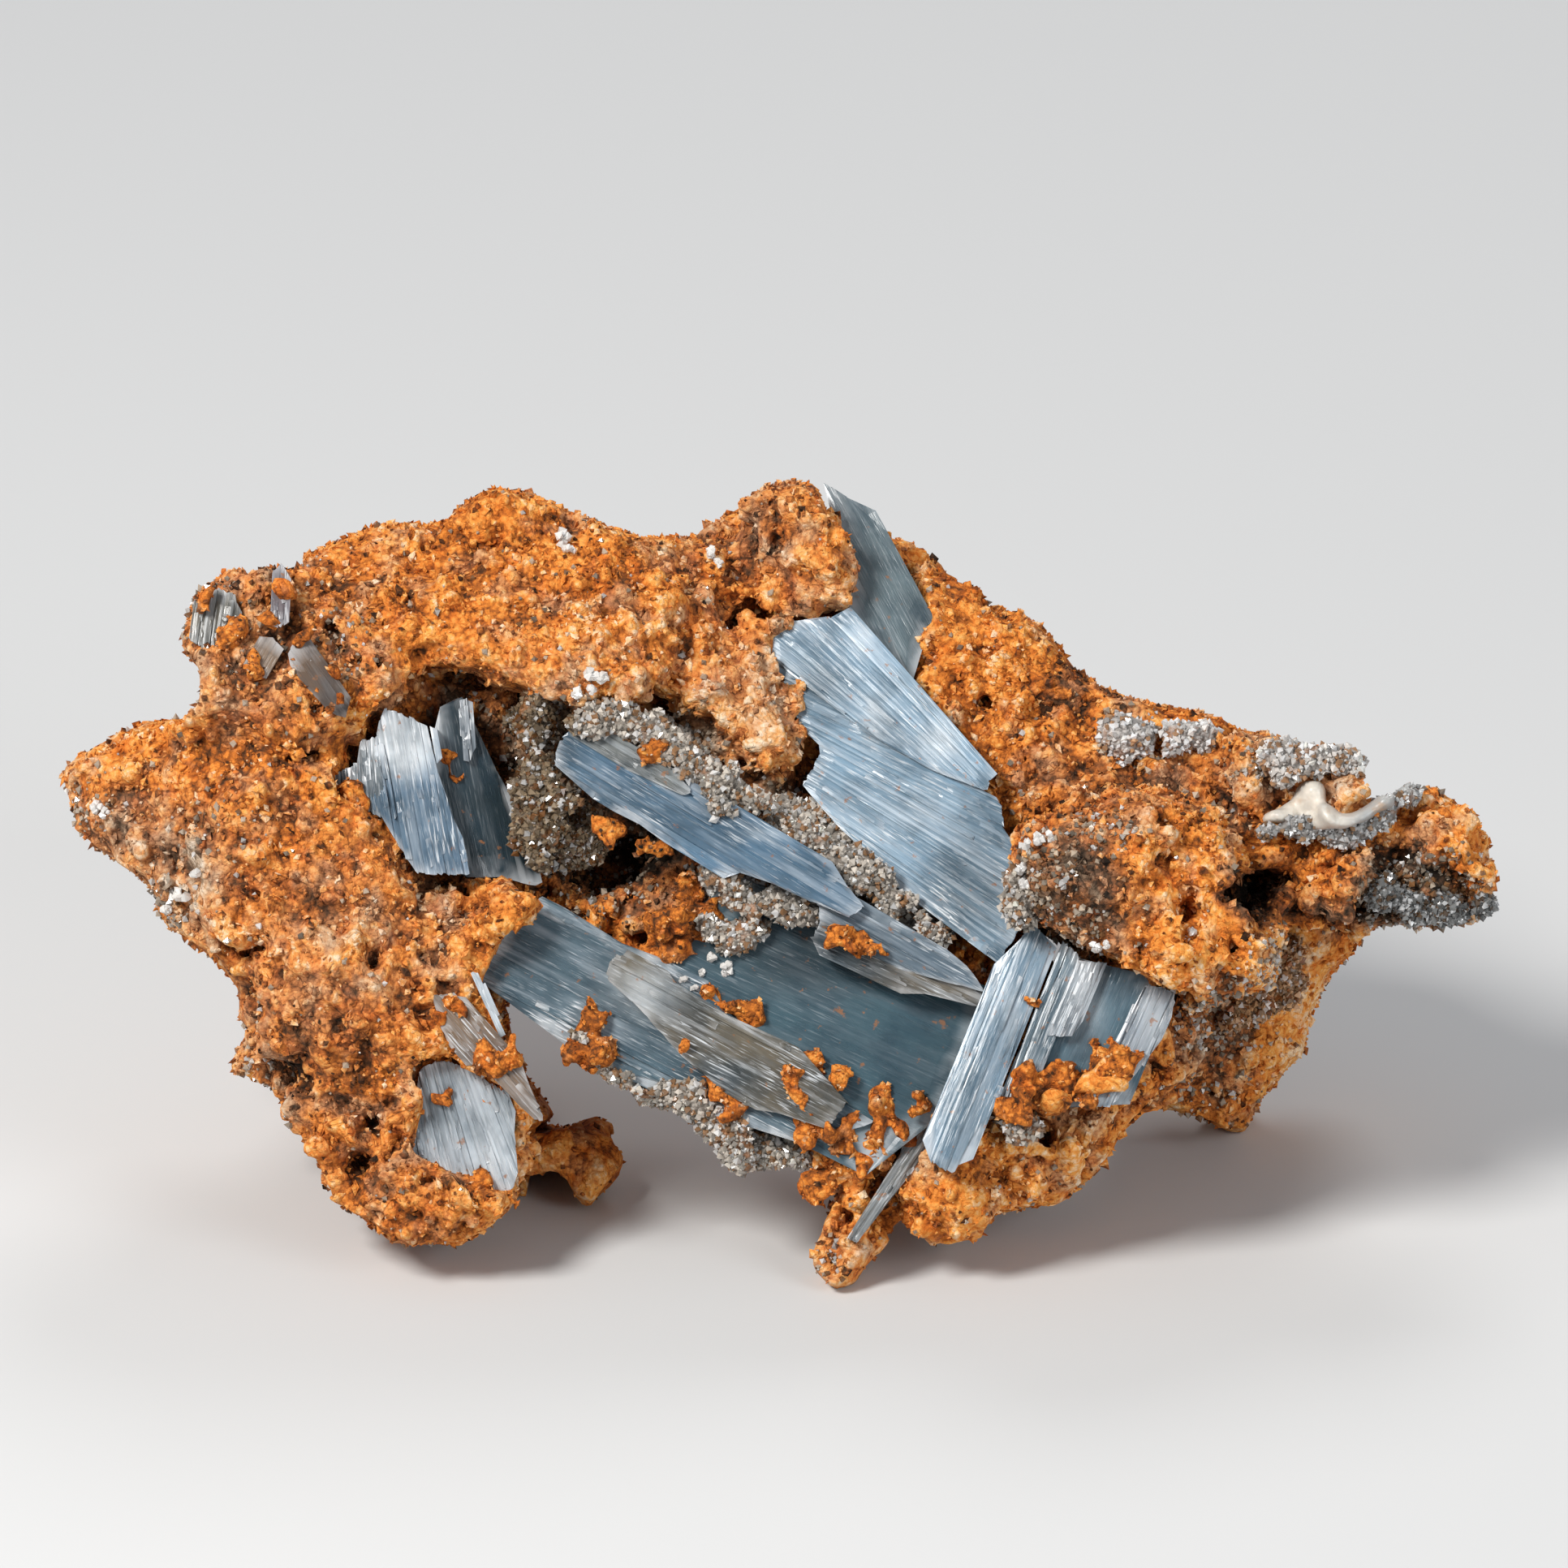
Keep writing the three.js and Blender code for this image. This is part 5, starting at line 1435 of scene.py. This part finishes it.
class Nodes:
    """A short way to write a material's node tree.

    Scales are per metre where a texture lies in the object's coordinates, and per mm along strands.
    """

    def __init__(self, name):
        self.material = bpy.data.materials.new(name)
        self.material.use_nodes = True
        self.tree = self.material.node_tree
        self.shader = self.tree.nodes["Principled BSDF"]

    def add(self, kind, inputs=None, **settings):
        node = self.tree.nodes.new(kind)
        for key, value in settings.items():
            setattr(node, key, value)
        for key, value in (inputs or {}).items():
            self.feed(node.inputs[key], value)
        return node

    def feed(self, socket, value):
        """Links a socket to another, or sets its value."""
        if isinstance(value, bpy.types.NodeSocket):
            self.tree.links.new(value, socket)
        else:
            socket.default_value = value

    def attribute(self, name, output="Fac"):
        return self.add("ShaderNodeAttribute", attribute_name=name).outputs[output]

    def coordinates(self):
        return self.add("ShaderNodeTexCoord").outputs["Object"]

    def noise(self, vector, scale, detail=3.0, roughness=0.55):
        inputs = {"Vector": vector, "Scale": scale, "Detail": detail, "Roughness": roughness}
        return self.add("ShaderNodeTexNoise", inputs).outputs["Fac"]

    def voronoi(self, vector, scale):
        return self.add("ShaderNodeTexVoronoi", {"Vector": vector, "Scale": scale})

    def bent(self, vector, scale, reach):
        """Coordinates pushed about by noise, by up to about half the reach."""
        push = self.add("ShaderNodeTexNoise", {"Vector": vector, "Scale": scale, "Detail": 2.0})
        inputs = {0: push.outputs["Color"], 1: (reach, reach, reach), 2: vector}
        return self.add("ShaderNodeVectorMath", inputs, operation="MULTIPLY_ADD").outputs[0]

    def stretched(self, vector, across, along):
        """Coordinates scaled to draw noise out along the strands."""
        return self.add("ShaderNodeMapping", {"Vector": vector, "Scale": (across, along, 1.0)}).outputs[0]

    def total(self, first, *others):
        for other in others:
            first = self.math("ADD", first, other)
        return first

    def math(self, operation, one, other, clamp=False):
        node = self.add("ShaderNodeMath", {0: one, 1: other}, operation=operation, use_clamp=clamp)
        return node.outputs[0]

    def times(self, one, other, clamp=False):
        return self.math("MULTIPLY", one, other, clamp)

    def fit(self, value, low, high, to_low=0.0, to_high=1.0):
        """A value brought from one range to another, and kept inside it."""
        inputs = {"Value": value, "From Min": low, "From Max": high, "To Min": to_low, "To Max": to_high}
        return self.add("ShaderNodeMapRange", inputs).outputs["Result"]

    def mix(self, share, one, other, blend="MIX"):
        node = self.add("ShaderNodeMix", {"Factor": share}, data_type="RGBA", blend_type=blend)
        self.feed(node.inputs[6], one)
        self.feed(node.inputs[7], other)
        return node.outputs[2]

    def ramp(self, value, stops):
        """The colour at a value along stops of (position, colour)."""
        node = self.add("ShaderNodeValToRGB", {"Fac": value})
        elements = node.color_ramp.elements
        while len(elements) < len(stops):
            elements.new(0.5)
        for element, (position, colour) in zip(elements, stops):
            element.position = position
            element.color = (*colour, 1)
        return node.outputs["Color"]

    def bump(self, height, distance, strength=1.0):
        inputs = {"Height": height, "Distance": distance, "Strength": strength}
        return self.add("ShaderNodeBump", inputs).outputs["Normal"]

    def set(self, **inputs):
        """Sets or links the shader's own sockets."""
        names = {"base": "Base Color", "roughness": "Roughness", "normal": "Normal", "ior": "IOR",
                 "transmission": "Transmission Weight", "specular": "Specular IOR Level",
                 "scatter": "Subsurface Weight", "scatter_radius": "Subsurface Radius",
                 "scatter_scale": "Subsurface Scale"}
        for key, value in inputs.items():
            self.feed(self.shader.inputs[names[key]], value)


def limonite_material():
    """Earthy limonite, orange to cream and dark in its cracks, with painted shade making it dark brown in
    its pits and painted light where it stands out.
    """
    n = Nodes("limonite")
    where = n.coordinates()
    patches = n.noise(where, 260)
    specks = n.noise(where, 1300, 4, 0.72)
    bent = n.bent(where, 900, 0.0005)
    cells = n.voronoi(bent, 2300)
    cracks = n.add("ShaderNodeTexVoronoi", {"Vector": n.bent(where, 500, 0.0012), "Scale": 620.0},
                   feature="DISTANCE_TO_EDGE").outputs["Distance"]
    cracked = n.times(n.fit(cracks, 0.0, 0.07, 1.0, 0.0), n.fit(patches, 0.45, 0.6))
    tone = n.total(
        0.61,
        # Painted shade and light: darker where the surface lies in pits, lighter where it stands out.
        n.fit(n.attribute("relief"), -0.4, 0.4, -0.26, 0.22),
        n.attribute("lighter"),
        n.fit(patches, 0.25, 0.75, -0.15, 0.15),
        n.fit(specks, 0.3, 0.7, -0.2, 0.18),
        n.fit(cells.outputs["Color"], 0.0, 1.0, -0.13, 0.13),
        n.fit(cells.outputs["Distance"], 0.35, 0.8, 0.0, -0.16),
        n.times(cracked, -0.16),
    )
    earth = n.ramp(tone, [
        (0.0, (0.016, 0.008, 0.004)),
        (0.2, (0.09, 0.032, 0.010)),
        (0.38, (0.34, 0.092, 0.014)),
        (0.56, (0.70, 0.215, 0.030)),
        (0.76, (0.84, 0.38, 0.088)),
        (1.0, (0.90, 0.66, 0.42)),
    ])
    dull = n.ramp(tone, [
        (0.0, (0.02, 0.014, 0.009)),
        (0.35, (0.15, 0.092, 0.056)),
        (0.65, (0.44, 0.31, 0.205)),
        (1.0, (0.74, 0.63, 0.51)),
    ])
    red = n.times(n.fit(n.noise(where, 620, 2), 0.5, 0.66), 0.5)
    reddish = n.mix(red, earth, n.mix(1.0, earth, (0.92, 0.62, 0.4, 1), "MULTIPLY"))
    spread = n.fit(n.noise(where, 420), 0.35, 0.65, 0.3, 1.5)
    strewn = n.fit(n.noise(n.bent(where, 700, 0.001), 340), 0.5, 0.66, 0.0, 0.5)
    grey = n.math("ADD", n.times(n.attribute("grey"), spread), strewn, clamp=True)
    fine = n.noise(where, 4200, 3, 0.7)
    height = n.total(n.times(specks, 1.4), n.times(fine, 0.8),
                     n.times(cells.outputs["Distance"], -0.8), n.times(cracked, -0.4))
    n.set(base=n.mix(grey, reddish, dull), roughness=0.93, specular=0.25,
          normal=n.bump(height, 0.00022))
    return n.material


def barite_material():
    """Blue-grey barite, satiny, with a little light let through, and pale broken threads on its laths that
    are partly painted highlight.
    """
    n = Nodes("barite")
    strand = n.attribute("strand", "Vector")
    where = n.coordinates()
    bands = n.noise(n.stretched(strand, 1.1, 0.10), 1.0, 3, 0.6)
    threads = n.noise(n.stretched(strand, 7.5, 0.42), 1.0, 2, 0.6)
    hairs = n.noise(n.stretched(strand, 16.0, 0.6), 1.0, 2, 0.6)
    clouds = n.noise(where, 300)
    patches = n.noise(where, 190, 3, 0.6)
    streaks = n.attribute("streaks")
    tint = n.attribute("tint", "Color")
    dark = n.mix(0.55, tint, (0.012, 0.035, 0.055, 1))
    deep = n.mix(n.fit(clouds, 0.34, 0.58), dark, tint)
    pale = n.mix(0.3, tint, (0.62, 0.69, 0.76, 1))
    banded = n.mix(n.times(n.fit(bands, 0.48, 0.7), streaks), deep, pale)
    shaded = n.mix(n.times(n.fit(threads, 0.44, 0.34), 0.4), banded, dark)
    # White threads: partly pale fibres, partly painted highlight along the laths.
    white = n.times(n.fit(threads, 0.57, 0.64), n.fit(patches, 0.46, 0.6))
    white = n.math("MAXIMUM", white, n.times(n.fit(hairs, 0.62, 0.7), 0.5))
    white = n.times(white, streaks)
    threaded = n.mix(n.times(white, 0.85), shaded, (0.86, 0.9, 0.93, 1))
    broken = n.times(n.attribute("end"), n.fit(clouds, 0.4, 0.6), clamp=True)
    frosted = n.mix(n.times(broken, 0.5), threaded, (0.8, 0.82, 0.84, 1))
    rust = n.fit(n.noise(where, 1100, 3, 0.6), 0.66, 0.71)
    colour = n.mix(n.times(rust, 0.7), frosted, (0.36, 0.14, 0.04, 1))
    height = n.total(n.times(threads, 0.5), n.times(hairs, 0.25), bands)
    n.set(base=colour, roughness=n.fit(bands, 0.3, 0.7, 0.22, 0.4), ior=1.636, transmission=0.25,
          specular=0.38, scatter=0.15, scatter_radius=(0.001, 0.0013, 0.0016), scatter_scale=0.6,
          normal=n.bump(height, 0.00007, 0.7))
    return n.material


def quartz_material():
    """Glossy quartz crystals that let a little light through, each in its own tint."""
    n = Nodes("quartz_crystals")
    n.set(base=n.attribute("tint", "Color"), roughness=0.07, ior=1.544, transmission=0.3)
    return n.material


def milky_material():
    """Milky quartz with a satin skin, clouded and faintly rusty in places."""
    n = Nodes("quartz_milky")
    where = n.coordinates()
    rust = n.fit(n.noise(where, 520), 0.54, 0.68, 0.0, 0.6)
    grain = n.noise(where, 2600)
    cloudy = n.times(n.fit(n.noise(where, 700), 0.4, 0.65), 0.45)
    milk = n.mix(cloudy, n.attribute("tint", "Color"), (0.30, 0.29, 0.27, 1))
    n.set(base=n.mix(rust, milk, (0.46, 0.27, 0.13, 1)), roughness=0.35, scatter=0.3,
          scatter_radius=(0.0012, 0.001, 0.0008), scatter_scale=0.5, normal=n.bump(grain, 0.00006, 0.8))
    return n.material


def crust_material():
    """The drusy body that the quartz crystals grow from: grey-brown, with painted shade darkening its gaps,
    and rust.
    """
    n = Nodes("quartz_crust")
    where = n.coordinates()
    dust = n.noise(where, 1400, 4, 0.72)
    cells = n.voronoi(n.bent(where, 900, 0.0004), 2600)
    tint = n.attribute("tint", "Color")
    # Painted shade: the body goes to this near-black where its relief is low, in the gaps between lumps.
    shade = n.mix(0.94, tint, (0.022, 0.013, 0.007, 1))
    tone = n.total(
        n.fit(n.attribute("relief"), -0.3, 0.4, -0.1, 0.6),
        n.fit(dust, 0.3, 0.7, -0.2, 0.5),
        n.fit(cells.outputs["Color"], 0.0, 1.0, -0.25, 0.3),
    )
    body = n.mix(n.fit(tone, 0.1, 1.2), shade, n.mix(0.35, tint, (0.09, 0.055, 0.03, 1)))
    rust = n.fit(n.noise(where, 360), 0.53, 0.62)
    height = n.math("ADD", dust, n.times(cells.outputs["Distance"], -1.2))
    n.set(base=n.mix(n.times(rust, 0.75), body, (0.36, 0.14, 0.04, 1)), roughness=0.38,
          normal=n.bump(height, 0.00025))
    return n.material


def floor_material():
    """The plain pale floor."""
    n = Nodes("floor")
    n.set(base=(0.6, 0.6, 0.595, 1), roughness=0.7)
    return n.material


# ------------------------------------------------------------------ studio

SCALE = 0.056  # mm of the face for one pixel of the picture
PICTURE = 1932  # its width and height in pixels
FOOT_ROW = 1585  # its row where the face's foot stands
CAMERA_AWAY = 1500  # mm from the middle of the picture
SENSOR = 36  # mm across
FLOOR = 6  # m across
LIT = Vector((0, 0, 0.02))  # what the lamps shine at, in the part's frame


def studio():
    """A pale floor, soft lights above, in front and behind, and the camera square on to the face."""
    bpy.ops.mesh.primitive_plane_add(size=FLOOR)
    floor = bpy.context.object
    floor.name = "floor"
    floor.data.materials.append(floor_material())

    middle = (0, (FOOT_ROW - PICTURE / 2) * SCALE)
    target = Vector(to_model([(*middle, 0)])[0])
    eye = Vector(to_model([(*middle, CAMERA_AWAY)])[0])
    camera = bpy.data.objects.new("camera", bpy.data.cameras.new("camera"))
    bpy.context.scene.collection.objects.link(camera)
    camera.location = eye
    camera.rotation_euler = (target - eye).to_track_quat("-Z", "Y").to_euler()
    camera.data.sensor_width = SENSOR
    camera.data.lens = SENSOR * CAMERA_AWAY / (PICTURE * SCALE)
    camera.data.clip_end = 10
    bpy.context.scene.camera = camera

    def lamp(name, where, size, energy, colour):
        """A round soft lamp that shines on the specimen."""
        data = bpy.data.lights.new(name, "AREA")
        data.shape = "DISK"
        data.size = size
        data.energy = energy
        data.color = colour
        thing = bpy.data.objects.new(name, data)
        thing.location = where
        thing.rotation_euler = (LIT - Vector(where)).to_track_quat("-Z", "Y").to_euler()
        bpy.context.scene.collection.objects.link(thing)

    lamp("key", (-0.36, -0.34, 0.5), 0.22, 5.6, (1, 0.985, 0.96))
    lamp("fill", (0.5, -0.5, 0.3), 0.4, 2.2, (0.93, 0.97, 1))
    lamp("rim", (0.1, 0.45, 0.5), 0.3, 1.2, (1, 1, 1))

    world = bpy.data.worlds.new("studio")
    world.use_nodes = True
    background = world.node_tree.nodes["Background"]
    background.inputs["Color"].default_value = (0.88, 0.92, 1, 1)
    background.inputs["Strength"].default_value = 0.28
    bpy.context.scene.world = world
    bpy.context.scene.view_settings.view_transform = "Standard"


# ------------------------------------------------------------------ build

def outer_part(points, normals):
    """Grains lie mostly where they are seen from the front and from above."""
    return 0.25 + np.clip(normals[:, 2], 0, 1) + 0.6 * np.clip(normals[:, 1], 0, 1)


limonite = limonite_material()
barite = barite_material()
quartz = quartz_material()
crust = crust_material()

rocks = rock_parts(limonite)
for i, (points, triangles, front) in enumerate(rocks):
    count = int((8800 if front else 4500) * SHARE)
    grain_piece(f"grains_{i + 1}", (points, triangles), count, outer_part, limonite, 30 + i)
front_points, front_faces = joined([(points, [triangles]) for points, triangles, front in rocks if front])
strewn_piece((front_points, front_faces[0]), quartz, int(7000 * SHARE), 40)
balls_piece(front_points, quartz)
for i, row in enumerate(DRUSES):
    druse(*row, (crust, quartz), 50 + i)
crust_on_blades((crust, quartz))
white_ridge_piece(front_points, milky_material())
bits = bits_piece(limonite)
grain_piece("grains_on_bits", bits, int(1200 * SHARE), outer_part, limonite, 39, (0.1, 0.3))
block_crust(limonite)
for i, node in enumerate(CRYSTALS):
    crystal_piece(node, barite, 80 + i)
studio()
